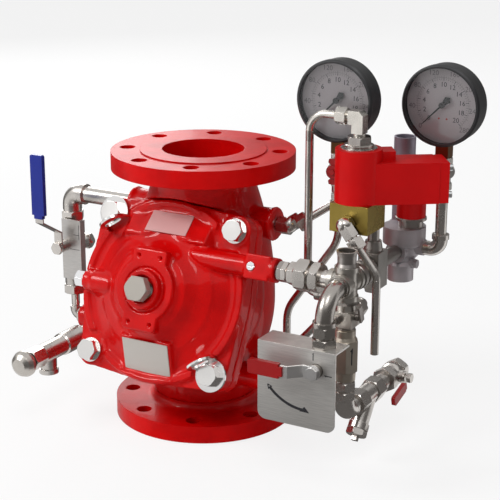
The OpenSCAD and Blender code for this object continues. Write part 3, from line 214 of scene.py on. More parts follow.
# Each card's name, first and last angle in degrees, and lowest and highest level
CARDS = (
    ("right_card", -98, 26, 0.0, 2.6),
    ("rear_card", 38, 121, 0.0, 2.6),
    ("left_card", 160, 195, 0.0, 2.6),
    ("right_floor_card", -100, 10, 0.0005, 0.0005),
    ("rear_floor_card", 45, 190, 0.0005, 0.0005),
)
FLOOR_HOLE = 0.02
CARD_STEPS = 48


class Value:
    """A socket of a material that takes part in Python arithmetic."""

    def __init__(self, nodes, output):
        self.nodes = nodes
        self.output = output

    def __add__(self, other):
        return self.nodes.maths("ADD", self, other)

    def __sub__(self, other):
        return self.nodes.maths("SUBTRACT", self, other)

    def __rsub__(self, other):
        return self.nodes.maths("SUBTRACT", other, self)

    def __mul__(self, other):
        return self.nodes.maths("MULTIPLY", self, other)

    __radd__ = __add__
    __rmul__ = __mul__

    def above(self, limit):
        return self.nodes.maths("GREATER_THAN", self, limit)

    def below(self, limit):
        return self.nodes.maths("LESS_THAN", self, limit)

    def size(self):
        return self.nodes.maths("ABSOLUTE", self)

    def ramp(self, low, high):
        """0 up to low, 1 from high on, and a smooth rise between them."""
        return self.nodes.node(
            "ShaderNodeMapRange",
            {"interpolation_type": "SMOOTHSTEP"},
            {"Value": self, "From Min": low, "From Max": high},
        )


class NodeTree:
    """The empty node tree of a material or a world. Every node comes from node()."""

    def __init__(self, owner):
        owner.use_nodes = True
        self.tree = owner.node_tree
        self.tree.nodes.clear()

    def node(self, kind, settings=None, values=None, output=0):
        """Adds a node, sets its settings first and then its sockets, and returns one of its outputs."""
        made = self.tree.nodes.new(kind)
        for key, setting in (settings or {}).items():
            setattr(made, key, setting)
        for key, value in (values or {}).items():
            if isinstance(value, Value):
                self.tree.links.new(value.output, made.inputs[key])
            else:
                made.inputs[key].default_value = value
        return None if output is None else Value(self, made.outputs[output])

    def maths(self, operation, first, second=0.0):
        return self.node("ShaderNodeMath", {"operation": operation}, {0: first, 1: second})

    def seen_plainly(self):
        """1 for what the camera sees itself, in a reflection or through glass, and 0 for light."""
        rays = ("Is Camera Ray", "Is Glossy Ray", "Is Transmission Ray")
        camera, glossy, through = (self.node("ShaderNodeLightPath", output=ray) for ray in rays)
        return self.maths("MINIMUM", camera + glossy + through, 1.0)

    def end(self, shader, kind="ShaderNodeOutputMaterial"):
        """Joins the shader to the tree's output."""
        self.node(kind, values={"Surface": shader}, output=None)


class Finish(NodeTree):
    """A material under construction."""

    def __init__(self, name):
        self.material = bpy.data.materials.new(name)
        super().__init__(self.material)
        self.place = self.node("ShaderNodeTexCoord", output="Object")

    def mixed(self, mask, first, second):
        """The first colour where the mask is 0 and the second where it is 1."""
        colours = {"data_type": "RGBA", "clamp_factor": True}
        return self.node("ShaderNodeMix", colours, {0: mask, 6: first, 7: second}, output=2)

    def part(self, axis):
        """One of X, Y and Z of the place on the piece, in metres."""
        return self.node("ShaderNodeSeparateXYZ", values={0: self.place}, output=axis)

    def noise(self, scale, detail=3.0, roughness=0.5, place=None):
        values = {"Vector": place or self.place, "Scale": scale, "Detail": detail, "Roughness": roughness}
        return self.node("ShaderNodeTexNoise", values=values)

    def stretched(self, factors):
        """The place with each axis scaled by its own factor."""
        return self.node("ShaderNodeMapping", values={"Vector": self.place, "Scale": factors})

    def along(self, direction, origin=(0, 0, 0)):
        """Distance of the place from an origin along a direction, in metres."""
        moved = self.node("ShaderNodeVectorMath", {"operation": "SUBTRACT"}, {0: self.place, 1: origin})
        values = {0: moved, 1: direction}
        return self.node("ShaderNodeVectorMath", {"operation": "DOT_PRODUCT"}, values, output="Value")

    def bump(self, height, strength, depth, rounding=0.0):
        """A normal that follows a height, over edges rounded to a radius in metres."""
        values = {"Height": height, "Strength": strength, "Distance": depth}
        if rounding:
            values["Normal"] = self.node("ShaderNodeBevel", {"samples": 4}, {"Radius": rounding})
        return self.node("ShaderNodeBump", values=values)

    def surface(self, **sockets):
        """Ends the material with a Principled shader; names are socket names with _ for spaces."""
        values = {key.replace("_", " "): value for key, value in sockets.items()}
        self.end(self.node("ShaderNodeBsdfPrincipled", values=values, output="BSDF"))
        return self.material


def opaque(colour):
    return (*colour, 1.0)


def darker(colour, share):
    return tuple(channel * share for channel in colour)


def colour_setting(name, description, default):
    """A colour that the panel shows."""
    return FloatVectorProperty(name=name, description=description, subtype="COLOR", default=default)


def length_setting(name, description, default):
    """A length in metres that the panel shows."""
    return FloatProperty(name=name, description=description, default=default, unit="LENGTH")


class PaintSettings(bpy.types.PropertyGroup):
    casting: colour_setting("Casting red", "Colour of the painted castings", (0.68, 0.0015, 0.0015))
    # Painted shade: this hollow red darkens the castings in random noise patches; it stands in for shade, not for
    # thicker paint.
    shade: colour_setting("Hollow red", "Red where paint lies thick", (0.40, 0.0, 0.001))
    plastic: colour_setting("Coil red", "Colour of the coil housing", (0.64, 0.002, 0.003))
    blue: colour_setting("Blue grip", "Colour of the alarm lever's grip", (0.004, 0.018, 0.27))
    gloss: FloatProperty(
        name="Gloss",
        description="Share of clear coat on the castings",
        default=0.35,
        min=0,
        max=1,
    )
    grain: length_setting("Sand grain", "Width of a grain of the cast surface", 0.0022)


class MetalSettings(bpy.types.PropertyGroup):
    bright: colour_setting("Bright steel", "Plated bolts and nuts", (0.84, 0.84, 0.85))
    steel: colour_setting("Stainless steel", "Pipes, tubes and small valves", (0.62, 0.585, 0.55))
    dark: colour_setting("Dark steel", "Cross, tees and couplings", (0.42, 0.39, 0.365))
    plate: colour_setting("Plate", "Brushed plates and the release panel", (0.56, 0.54, 0.52))
    brass: colour_setting("Brass", "Solenoid valve block", (0.40, 0.29, 0.07))
    bronze: colour_setting("Bronze", "Check valve and bearings", (0.56, 0.50, 0.42))
    nickel: colour_setting("Nickel", "Pale plated elbows and nuts", (0.80, 0.76, 0.70))
    rounding: length_setting("Edge rounding", "Radius that machined edges catch light on", 0.0006)


class DialSettings(bpy.types.PropertyGroup):
    face: colour_setting("Dial", "Colour of the dial", (0.56, 0.49, 0.51))
    ink: colour_setting("Ink", "Colour of the marks and numbers", (0.02, 0.02, 0.025))
    numbers: IntProperty(
        name="Numbers",
        description="Numbers round a dial",
        default=11,
        min=3,
    )
    height: length_setting("Number height", "Height of a number", 0.0058)


class CastingSettings(bpy.types.PropertyGroup):
    voxel: length_setting("Body grid", "Grid that the body is rounded on", 0.002)
    cover_voxel: length_setting("Cover grid", "Grid that the cover is rounded on", 0.0015)
    rounds: IntProperty(
        name="Fillets",
        description="Rounds of filling the hollow corners",
        default=14,
        min=0,
    )
    triangles: IntProperty(
        name="Triangles",
        description="Most triangles of a casting",
        default=150000,
        min=1000,
    )
    flange_cut: length_setting("Flange cut", "Height at which a flange meets the casting", 0.034)


class StudioSettings(bpy.types.PropertyGroup):
    lens: FloatProperty(
        name="Lens",
        description="Focal length in millimetres",
        default=103.86,
    )
    level: FloatProperty(
        name="Room light",
        description="Strength of the even light",
        default=0.42,
        min=0,
    )
    lamp: FloatProperty(
        name="Lamp",
        description="Power of the main lamp in watts",
        default=52.0,
        min=0,
    )
    card: FloatProperty(
        name="Card",
        description="Brightness that bright metal sees in the dark cards",
        default=0.16,
        min=0,
    )
    room: length_setting("Card distance", "Distance of the cards", 4.0)


def metal(name, colour, roughness, grain=900.0, relief=0.06, tint=0.8, rounding=None):
    """Machined or plated metal with fine grain, faint stains and caught edges."""
    finish = Finish(name)
    rounding = bpy.context.scene.valve_metal.rounding if rounding is None else rounding
    stain = finish.noise(35, detail=4.0).ramp(0.35, 0.75)
    fine = finish.noise(grain, detail=2.0)
    return finish.surface(
        Base_Color=finish.mixed(stain, opaque(colour), opaque(darker(colour, tint))),
        Metallic=1.0,
        Roughness=roughness + stain * 0.08 + fine * 0.08,
        Normal=finish.bump(fine, relief, 0.0002, rounding),
    )


def brushed(name, colour, directions, roughness=0.3):
    """Sheet metal with long fine lines along one axis."""
    finish = Finish(name)
    lines = finish.noise(1.0, detail=3.0, place=finish.stretched(directions))
    cloud = finish.noise(18, detail=3.0).ramp(0.3, 0.8)
    return finish.surface(
        Base_Color=finish.mixed(lines.ramp(0.3, 0.7), opaque(colour), opaque(darker(colour, 0.82))),
        Metallic=1.0,
        Roughness=roughness + lines * 0.15 + cloud * 0.06,
        Normal=finish.bump(lines, 0.12, 0.0001, 0.0004),
    )


def cast_paint(name, settings):
    """Thick gloss paint over a sand casting, with painted shade as darker red in random patches; machined flange
    faces and rims are smoother.
    """
    finish = Finish(name)
    grain = finish.noise(1 / settings.grain, detail=3.0, roughness=0.6)
    swell = finish.noise(60, detail=2.0)
    height = finish.part("Z")
    machined = (height - FLANGE_TOP).size().below(MACHINED)
    flanges = (height - FLANGE_TOP / 2).size().above(FLANGE_FROM_MIDDLE)
    relief = (grain * 0.5 + swell * 0.8) * (1 - machined * 0.5)
    # Painted shade: darker red laid in random noise patches, standing in for shade in the hollows
    hollow = finish.noise(22, detail=4.0).ramp(0.35, 0.7)
    return finish.surface(
        Base_Color=finish.mixed(hollow * 0.55, opaque(settings.casting), opaque(settings.shade)),
        Roughness=0.32 + grain * 0.12,
        Specular_IOR_Level=0.08,
        Normal=finish.bump(relief, 0.45, 0.0012, 0.0012),
        Coat_Weight=(1 - flanges * 0.85) * settings.gloss,
        Coat_Roughness=0.06,
    )


def plain_paint(name, colour, roughness=0.35, coat=0.6, grain=500.0, relief=0.05, shine=0.5):
    """Even paint or moulded plastic with a little orange peel."""
    finish = Finish(name)
    peel = finish.noise(grain, detail=2.0)
    cloud = finish.noise(25, detail=3.0).ramp(0.3, 0.8)
    return finish.surface(
        Base_Color=finish.mixed(cloud * 0.5, opaque(colour), opaque(darker(colour, 0.78))),
        Roughness=roughness + peel * 0.1,
        Specular_IOR_Level=shine,
        Normal=finish.bump(peel, relief, 0.0004, 0.0008),
        Coat_Weight=coat,
        Coat_Roughness=0.2,
    )


def banded_metal(name, levels, colours, roughness, axis="Z"):
    """Bright metal whose colour changes at given places along an axis, for fittings joined in one solid."""
    finish = Finish(name)
    place = finish.part(axis)
    fine = finish.noise(900, detail=2.0)
    stain = finish.noise(40, detail=4.0).ramp(0.35, 0.75)
    colour = opaque(colours[0])
    for level, above in zip(levels, colours[1:]):
        colour = finish.mixed(place.above(level), colour, opaque(above))
    return finish.surface(
        Base_Color=finish.mixed(stain * 0.3, colour, opaque((0.2, 0.18, 0.17))),
        Metallic=1.0,
        Roughness=roughness + stain * 0.08 + fine * 0.08,
        Normal=finish.bump(fine, 0.06, 0.0002, bpy.context.scene.valve_metal.rounding),
    )


def banded_plate(name, level, below, above):
    """Plates of two colours, parted by a height: grey below and pink above."""
    finish = Finish(name)
    lines = finish.noise(1.0, detail=3.0, place=finish.stretched((60, 2600, 2600)))
    return finish.surface(
        Base_Color=finish.mixed(finish.part("Z").above(level), opaque(below), opaque(above)),
        Metallic=0.35,
        Roughness=0.38 + lines * 0.14,
        Normal=finish.bump(lines, 0.05, 0.0001, 0.0003),
    )


def dull_plug(name, dull, bright):
    """A turned face on the plug in the middle and plating on the small plugs beside it."""
    finish = Finish(name)
    across = finish.part("X")
    small = across.size().above(SMALL_PLUGS)
    lines = finish.noise(1.0, detail=3.0, place=finish.stretched((2600, 60, 60)))
    return finish.surface(
        Base_Color=finish.mixed(small, opaque(dull), opaque(bright)),
        Metallic=0.4 + small * 0.6,
        Roughness=0.42 + lines * 0.12 - small * 0.25,
        Normal=finish.bump(lines, 0.08, 0.0001, 0.0006),
    )


def coated_grey(name, colour):
    """Grey casting with a soft sheen and a fine rough skin."""
    finish = Finish(name)
    skin = finish.noise(700, detail=4.0, roughness=0.65)
    cloud = finish.noise(30, detail=3.0).ramp(0.3, 0.75)
    return finish.surface(
        Base_Color=finish.mixed(cloud, opaque(colour), opaque(darker(colour, 0.75))),
        Metallic=0.55,
        Roughness=0.38 + skin * 0.2,
        Normal=finish.bump(skin, 0.25, 0.0005, 0.0008),
    )


def glass(name):
    """Flat window glass that lets the dial show plainly."""
    finish = Finish(name)
    shine = finish.node(
        "ShaderNodeBsdfGlossy", values={"Color": (1, 1, 1, 1), "Roughness": 0.03}, output="BSDF"
    )
    clear = finish.node("ShaderNodeBsdfTransparent", values={"Color": (0.97, 0.98, 0.98, 1)}, output="BSDF")
    edge = finish.node("ShaderNodeFresnel", values={"IOR": 1.45})
    finish.end(finish.node("ShaderNodeMixShader", values={0: edge * 0.7, 1: clear, 2: shine}))
    return finish.material


def capped_red(name, red, steel):
    """Red cap on a bare steel neck."""
    finish = Finish(name)
    neck = finish.part("Z").below(RELAY_NECK)
    peel = finish.noise(500, detail=2.0)
    return finish.surface(
        Base_Color=finish.mixed(neck, opaque(red), opaque(steel)),
        Metallic=neck,
        Roughness=0.3 + peel * 0.1,
        Normal=finish.bump(peel, 0.05, 0.0004, 0.0008),
        Specular_IOR_Level=0.15,
    )


def rubber(name, colour):
    finish = Finish(name)
    skin = finish.noise(900, detail=3.0)
    return finish.surface(
        Base_Color=finish.mixed(skin, opaque(colour), opaque(darker(colour, 1.8))),
        Roughness=0.62 + skin * 0.15,
        Normal=finish.bump(skin, 0.2, 0.0003, 0.0005),
    )


def printed_dial(name, colour):
    """Dial card: nearly even, with the faintest tone."""
    finish = Finish(name)
    tone = finish.noise(40, detail=2.0)
    return finish.surface(
        Base_Color=finish.mixed(tone, opaque(colour), opaque(darker(colour, 0.93))),
        Roughness=0.45 + tone * 0.05,
    )


def make_finishes(scene):
    """Every finish by the name of the record's material slot that it stands for."""
    paint, tones, dial = scene.valve_paint, scene.valve_metal, scene.valve_dial
    return {
        "red_casting": cast_paint("red_casting", paint),
        "red_enamel": plain_paint("red_enamel", paint.plastic, roughness=0.4, coat=0.08, shine=0.1),
        "bright_bolt": metal("bright_bolt", tones.bright, 0.08, relief=0.02, tint=0.92),
        "plate": brushed("plate", tones.plate, (60, 60, 2600)),
        "bronze": metal("bronze", (0.55, 0.38, 0.16), 0.25),
        "clapper_iron": coated_grey("clapper_iron", (0.20, 0.19, 0.18)),
        "seal_rubber": rubber("seal_rubber", (0.02, 0.02, 0.02)),
        "steel": metal("steel", tones.steel, 0.2),
        "dark_steel": metal("dark_steel", tones.dark, 0.3, grain=600.0, relief=0.15, tint=0.7),
        "blue_grip": plain_paint("blue_grip", paint.blue, roughness=0.3, coat=0.1, shine=0.3),
        "red_grip": plain_paint("red_grip", (0.36, 0.003, 0.004), roughness=0.35, coat=0.1, shine=0.3),
        "warm_bronze": metal("warm_bronze", tones.bronze, 0.36, grain=700.0, relief=0.2),
        "brass": metal("brass", tones.brass, 0.22),
        "copper_coil": rubber("copper_coil", (0.10, 0.03, 0.015)),
        "grey_cast": coated_grey("grey_cast", (0.52, 0.48, 0.50)),
        "gauge_black": plain_paint("gauge_black", (0.016, 0.016, 0.018), 0.42, coat=0.25, relief=0.12),
        "dial": printed_dial("dial", dial.face),
        "lens": glass("lens"),
        "gauge_brass": metal("gauge_brass", (0.20, 0.10, 0.045), 0.32),
        "exhaust": banded_metal("exhaust", EXHAUST_BANDS, (tones.steel, tones.dark, tones.nickel), 0.2),
        "union": banded_metal("union", (UNION_NIPPLE,), (tones.dark, tones.steel), 0.2, axis="X"),
        "panel": brushed("panel", (0.80, 0.78, 0.75), (60, 60, 2600), roughness=0.4),
        "mid_steel": metal("mid_steel", (0.53, 0.50, 0.46), 0.26, relief=0.1),
        "shaded_steel": metal("shaded_steel", (0.44, 0.41, 0.38), 0.2),
        "pale_steel": metal("pale_steel", (0.82, 0.81, 0.80), 0.3),
        "dim_steel": metal("dim_steel", (0.33, 0.31, 0.29), 0.3, grain=600.0, relief=0.15),
        "vent_pipe": coated_grey("vent_pipe", (0.36, 0.32, 0.38)),
        "cap": capped_red("cap", paint.plastic, tones.dark),
        "name_plate": banded_plate("name_plate", PLATE_PARTING, (0.56, 0.53, 0.49), (0.62, 0.36, 0.35)),
        "dull_plug": dull_plug("dull_plug", (0.40, 0.37, 0.33), tones.bright),
        "cover_bolt": metal("cover_bolt", (0.84, 0.82, 0.80), 0.14, relief=0.02, tint=0.96),
        "chrome": metal("chrome", (0.82, 0.80, 0.79), 0.1, relief=0.02, tint=0.9),
        "ink": plain_paint("ink", dial.ink, roughness=0.5, coat=0.0),
        "pale_ink": plain_paint("pale_ink", (0.22, 0.19, 0.20), roughness=0.5, coat=0.0),
        "red_ink": plain_paint("red_ink", (0.55, 0.05, 0.02), roughness=0.5, coat=0.0),
    }


def slot_of(node):
    """The record's material slot that a CAD node is painted with."""
    for row in frame["record"]["subparts"]:
        if row["node"] == node:
            return row["material_slot"]
    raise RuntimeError(f"the record gives {node} no material slot")


FINISHES = {}

# Nodes whose finish differs from that of their slot
OWN_FINISHES = {
    "exhaust_tube": "exhaust",
    "relay_cap": "cap",
    "data_plates": "name_plate",
    "cover_plugs": "dull_plug",
    "cover_bolts": "cover_bolt",
    "lifting_eyes": "chrome",
    "cover_union": "union",
    "release_panel": "panel",
    "release_lever": "pale_steel",
    "release_pipework": "shaded_steel",
    "manifold_cross": "mid_steel",
    "lower_tee": "mid_steel",
    "drip_check_knob": "mid_steel",
    "relay_tee": "dim_steel",
}


class VALVE_OT_finishes(bpy.types.Operator):
    """Give every solid of the frame its finish"""

    bl_idname = "valve.finishes"
    bl_label = "Finishes"

    def execute(self, context):
        FINISHES.update(make_finishes(context.scene))
        for name, node in NODES.items():
            node.data.materials.clear()
            node.data.materials.append(FINISHES[OWN_FINISHES.get(name, slot_of(name))])
        return {"FINISHED"}


def object_of(name, bm, material):
    """Turns a bmesh into an object of one material."""
    mesh = bpy.data.meshes.new(name)
    bm.to_mesh(mesh)
    bm.free()
    mesh.materials.append(material)
    made = bpy.data.objects.new(name, mesh)
    bpy.context.scene.collection.objects.link(made)
    return made


def piece(name, bm, body, slot, replaced=(), finish=None):
    """Turns a bmesh into a finished object that rides on a CAD body."""
    made = object_of(name, bm, FINISHES[finish or slot])
    if replaced:
        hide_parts(*replaced)
    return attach(made, body)


def middle_of(node):
    low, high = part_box(node)
    return (low + high) / 2


def joined(*starts):
    """Every vertex that edges join to the given ones."""
    found, todo = set(), list(starts)
    while todo:
        vert = todo.pop()
        if vert not in found:
            found.add(vert)
            todo.extend(edge.other_vert(vert) for edge in vert.link_edges)
    return found


def faces_of(verts):
    return list({face for vert in verts for face in vert.link_faces})


def merged_copy(node):
    """A bmesh of a CAD node with its loose triangles joined."""
    bm = bmesh.new()
    bm.from_mesh(NODES[node].data)
    bmesh.ops.remove_doubles(bm, verts=bm.verts, dist=0.00001)
    return bm


def cut(bm, point, normal):
    """Removes what lies past a plane and closes the cut."""
    everything = bm.verts[:] + bm.edges[:] + bm.faces[:]
    made = bmesh.ops.bisect_plane(bm, geom=everything, plane_co=point, plane_no=normal, clear_outer=True)
    rim = [edge for edge in made["geom_cut"] if isinstance(edge, bmesh.types.BMEdge)]
    bmesh.ops.triangle_fill(bm, edges=rim, use_beauty=True)
    bmesh.ops.recalc_face_normals(bm, faces=bm.faces[:])


def final_mesh(data, kind=None, **settings):
    """The mesh that a mesh or a text gives, after one modifier where a kind is named."""
    holder = bpy.data.objects.new("shape", data)
    bpy.context.scene.collection.objects.link(holder)
    if kind:
        modifier = holder.modifiers.new("change", kind)
        for name, value in settings.items():
            setattr(modifier, name, value)
    graph = bpy.context.evaluated_depsgraph_get()
    made = bpy.data.meshes.new_from_object(holder.evaluated_get(graph))
    bpy.data.objects.remove(holder)
    return made


def remeshed(bm, voxel):
    """A voxel remesh of a bmesh, as a new mesh."""
    mesh = bpy.data.meshes.new("casting")
    bm.to_mesh(mesh)
    bm.free()
    return final_mesh(mesh, "REMESH", mode="VOXEL", voxel_size=voxel)


def trimmed(mesh, triangles):
    """Takes faces off a remesh where it is flat, down to a number of triangles."""
    return final_mesh(mesh, "DECIMATE", ratio=min(1.0, triangles / (2 * len(mesh.polygons))))


def points_of(mesh, value="co"):
    """The places or the normals of a mesh's points, one row each."""
    values = np.zeros(len(mesh.vertices) * 3)
    mesh.vertices.foreach_get(value, values)
    return values.reshape(-1, 3)


def move_points(mesh, place):
    mesh.vertices.foreach_set("co", place.ravel())
    mesh.update()


def fill_corners(mesh, rounds, still):
    """Fills hollow corners with cast fillets and leaves ridges; still says which points stay."""
    place = points_of(mesh)
    count = len(place)
    ends = np.zeros(len(mesh.edges) * 2, int)
    mesh.edges.foreach_get("vertices", ends)
    first, second = ends[0::2], ends[1::2]
    degree = np.bincount(ends, minlength=count)[:, None]
    free = ~still(place)
    for step in range(rounds):
        if step % NORMAL_EVERY == 0:
            move_points(mesh, place)
            normal = points_of(mesh, "normal")
        middle = np.zeros((count, 3))
        for axis in range(3):
            middle[:, axis] += np.bincount(first, place[second, axis], count)
            middle[:, axis] += np.bincount(second, place[first, axis], count)
        shift = ((middle / degree - place) * normal).sum(1)
        place += normal * (np.maximum(shift, 0) * free)[:, None]
    move_points(mesh, place)


class VALVE_OT_castings(bpy.types.Operator):
    """Give the body and the cover the soft corners of sand castings"""

    bl_idname = "valve.castings"
    bl_label = "Castings"

    def execute(self, context):
        settings = context.scene.valve_casting
        self.build_body(settings)
        self.build_cover(settings)
        return {"FINISHED"}

    def build_body(self, settings):
        low = settings.flange_cut
        high = FLANGE_TOP - low
        bm = merged_copy("valve_body")
        cut(bm, (0, 0, low), -Z_AXIS)
        cut(bm, (0, 0, high), Z_AXIS)
        mesh = remeshed(bm, settings.voxel)
        fill_corners(mesh, settings.rounds, lambda place: on_cover_face(place) | near_bore(place))
        self.add("valve_body_casting", trimmed(mesh, settings.triangles), "valve", ())
        for name, side, level in (("inlet_flange", Z_AXIS, low), ("outlet_flange", -Z_AXIS, high)):
            bm = merged_copy("valve_body")
            cut(bm, (0, 0, level), side)
            piece(name, bm, "valve", "red_casting", ("valve_body",))

    def build_cover(self, settings):
        bm = merged_copy("valve_cover")
        for ring in BOSS_RINGS:
            add_ring(bm, COVER_FRAME, *ring)
        self.add_bridge(bm)
        mesh = remeshed(bm, settings.cover_voxel)
        sink_dome(mesh)
        fill_corners(mesh, settings.rounds, on_machined_cover)
        self.add("valve_cover_casting", trimmed(mesh, settings.triangles), "valve", ("valve_cover",))

    def add_bridge(self, bm):
        """A low block with slanted ends that carries the upper plate's seat."""
        seat = COVER_FRAME @ Matrix.Translation(TAG_SEAT) @ Matrix.Rotation(-TAG_LEAN, 4, "X")
        bridge = Matrix.Translation(BRIDGE_PLACE) @ Matrix.Diagonal((*BRIDGE_SIZE, 1))
        block = bmesh.ops.create_cube(bm, size=1)["verts"]
        top = [vert for vert in block if vert.co.z > 0]
        bmesh.ops.scale(bm, vec=(BRIDGE_TAPER, 1, 1), verts=top)
        bmesh.ops.transform(bm, matrix=seat @ bridge, verts=block)

    def add(self, name, mesh, body, replaced):
        bm = bmesh.new()
        bm.from_mesh(mesh)
        for face in bm.faces:
            face.smooth = True
        piece(name, bm, body, "red_casting", replaced)


def cover_places(place):
    """Points given as across, up and out of the cover's joint, in metres."""
    away = place - np.array(COVER_JOINT)
    up = away[:, 1] * math.sin(COVER_TILT) + away[:, 2] * math.cos(COVER_TILT)
    out = -away[:, 1] * math.cos(COVER_TILT) + away[:, 2] * math.sin(COVER_TILT)
    return away[:, 0], up, out


def on_cover_face(place):
    """Points of the body on the machined joint under the cover."""
    return np.abs(cover_places(place)[2]) < JOINT_SKIN


def near_bore(place):
    """Points of the body inside its waterway."""
    return np.hypot(place[:, 0], place[:, 1]) < BORE_REACH


def between(values, limits):
    low, high = limits
    return (values > low) & (values < high)


def sink_dome(mesh):
    """Shapes the cover's cone into a hub on a shallow dish, and flattens the rim's bead."""
    place = points_of(mesh)
    across, up, out = cover_places(place)
    reach = np.hypot(across, up)
    cone = np.interp(reach, CONE_RADII, CONE_HEIGHTS)
    wanted = np.interp(reach, DISH_RADII, DISH_HEIGHTS)
    on_cone = between(out - cone, (-CONE_SKIN, CONE_SKIN)) & between(reach, CONE_BAND)
    shift = np.where(on_cone, wanted - cone, 0.0)
    duct = np.where(across > 0, RIGHT_DUCT, LEFT_DUCT)
    covered = (np.abs(up - duct) < DUCT_REACH) | (np.abs(across) < SEAT_REACH)
    bead = between(reach, BEAD_RADII) & between(out, BEAD_HEIGHTS) & ~covered
    shift = np.where(bead, BEAD_HEIGHTS[0] - out, shift)
    move_points(mesh, place + shift[:, None] * np.array(COVER_FRAME.col[2].xyz))


def on_machined_cover(place):
    """Points of the cover on its joint, its pad and inside it."""
    across, up, out = cover_places(place)
    return (out < 2 * JOINT_SKIN) | ((out > PAD_TOP) & (np.hypot(across, up) < PAD_REACH))


def upright(origin):
    """Turns a flat mark in the XY plane to face the front, with its middle at a point."""
    return Matrix.Translation(origin) @ Matrix.Rotation(math.pi / 2, 4, "X")


def add_bar(bm, place, size):
    """A raised rectangle of a width and height, seen from its place's Z."""
    width, height = size
    scale = Matrix.Diagonal((width, height, PRINT, 1))
    bmesh.ops.create_cube(bm, size=1, matrix=place @ scale)


def add_words(bm, words, height, place):
    """Numbers as a thin raised mesh, centred on a place."""
    curve = bpy.data.curves.new("number", "FONT")
    curve.body = words
    curve.size = height * 1.4
    curve.align_x = "CENTER"
    curve.align_y = "CENTER"
    curve.resolution_u = 2
    curve.extrude = PRINT / 2
    mesh = final_mesh(curve)
    mesh.transform(place)
    bm.from_mesh(mesh)


def add_disc(bm, place, radius, height, segments=24):
    """A flat round or many-sided boss that stands on a place."""
    lifted = place @ Matrix.Translation((0, 0, height / 2))
    return bmesh.ops.create_cone(
        bm, cap_ends=True, segments=segments, radius1=radius, radius2=radius, depth=height, matrix=lifted
    )


def add_ring(bm, place, inner, outer, low, high):
    """A ring of rectangular section about its place's Z."""
    section = ((inner, low), (outer, low), (outer, high), (inner, high))
    corners = [bm.verts.new((reach, 0, rise)) for reach, rise in section]
    loop = [bm.edges.new(pair) for pair in zip(corners, corners[1:] + corners[:1])]
    bmesh.ops.spin(
        bm,
        geom=[*corners, *loop],
        cent=(0, 0, 0),
        axis=(0, 0, 1),
        angle=FULL_TURN,
        steps=RING_STEPS,
        use_merge=True,
    )
    ring = joined(corners[0])
    bmesh.ops.recalc_face_normals(bm, faces=faces_of(ring))
    bmesh.ops.transform(bm, matrix=place, verts=list(ring))


def sweep_line(bm, near, far, start, end, steps):
    """Sweeps a line about Z from one angle to another, and returns its first end."""
    line = [bm.verts.new(near), bm.verts.new(far)]
    edge = bm.edges.new(line)
    bmesh.ops.rotate(bm, verts=line, cent=(0, 0, 0), matrix=Matrix.Rotation(start, 3, "Z"))
    bmesh.ops.spin(bm, geom=[*line, edge], cent=(0, 0, 0), axis=(0, 0, 1), angle=end - start, steps=steps)
    return line[0]


def add_arc(bm, place, radius, width, start, end):
    """A raised ribbon along an arc of the XY plane."""
    near, far = (radius - width / 2, 0, 0), (radius + width / 2, 0, 0)
    inner = sweep_line(bm, near, far, start, end, max(4, round(abs(end - start) / ARC_STEP)))
    bmesh.ops.solidify(bm, geom=faces_of(joined(inner)), thickness=PRINT)
    bmesh.ops.transform(bm, matrix=place, verts=list(joined(inner)))


def add_arrow_head(bm, place, turn, size):
    """A raised triangle that points along an angle of its place's XY plane."""
    about = place @ Matrix.Rotation(turn, 4, "Z") @ Matrix.Diagonal((1.6, 1, 1, 1))
    add_disc(bm, about, size, PRINT, segments=3)


def closed(bm):
    """Turns every face of a bmesh outwards."""
    bmesh.ops.recalc_face_normals(bm, faces=bm.faces[:])
    return bm


class VALVE_OT_dials(bpy.types.Operator):
    """Print the scales and numbers of both gauges"""

    bl_idname = "valve.dials"
    bl_label = "Dials"

    def execute(self, context):
        settings = context.scene.valve_dial
        for joint in frame["joints"]:
            if joint["name"] in ("left_needle_turn", "right_needle_turn"):
                side = joint["name"].split("_")[0]
                centre = Vector(joint["pos_m"]) + Vector((0, DIAL_BEHIND - PRINT / 2, 0))
                self.print_scale(side, upright(centre), settings)
        return {"FINISHED"}

    def print_scale(self, side, face, settings):
        dark = bmesh.new()
        count = settings.numbers
        self.add_ticks(dark, face, 5 * count - 4, *FINE_TICKS)
        self.add_ticks(dark, face, count, *NUMBERED_TICKS)
        self.add_numbers(dark, face, range(0, 2 * count, 2), NUMBER_SHARE, settings.height)
        piece(f"{side}_dial_scale", closed(dark), "valve", "gauge_black", finish="ink")
        pale = bmesh.new()
        for ring in OUTER_TICKS:
            self.add_ticks(pale, face, *ring)
        self.add_numbers(pale, face, OUTER_NUMBERS, OUTER_NUMBER_SHARE, settings.height * 1.05)
        add_arc(pale, face, OUTER_LINE * DIAL_RADIUS, 0.0003, *DIAL_SWEEP)
        piece(f"{side}_dial_outer_scale", closed(pale), "valve", "gauge_black", finish="pale_ink")
        if side == "right":
            dots = bmesh.new()
            for across, up in DOT_PLACES:
                spot = (across * DIAL_RADIUS, up * DIAL_RADIUS, -PRINT / 2)
                add_disc(dots, face @ Matrix.Translation(spot), DOT_RADIUS, PRINT)
            piece("right_dial_dots", closed(dots), "valve", "red_enamel", finish="red_ink")

    def add_ticks(self, bm, face, count, inner, outer, width):
        """A ring of ticks between two shares of the dial's radius."""
        for index in range(count):
            turn = self.scale_angle(index / (count - 1))
            middle = Matrix.Translation(((inner + outer) / 2 * DIAL_RADIUS, 0, 0))
            place = face @ Matrix.Rotation(turn, 4, "Z") @ middle
            add_bar(bm, place, ((outer - inner) * DIAL_RADIUS, width))

    def add_numbers(self, bm, face, numbers, share, height):
        """A ring of numbers at a share of the dial's radius."""
        for index, number in enumerate(numbers):
            turn = self.scale_angle(index / (len(numbers) - 1))
            reach = share * DIAL_RADIUS
            place = face @ Matrix.Translation((reach * math.cos(turn), reach * math.sin(turn), 0))
            add_words(bm, str(number), height, place)

    def scale_angle(self, share):
        """Angle of a share of the scale, which runs clockwise from the lower left."""
        start, end = DIAL_SWEEP
        return end + (start - end) * share


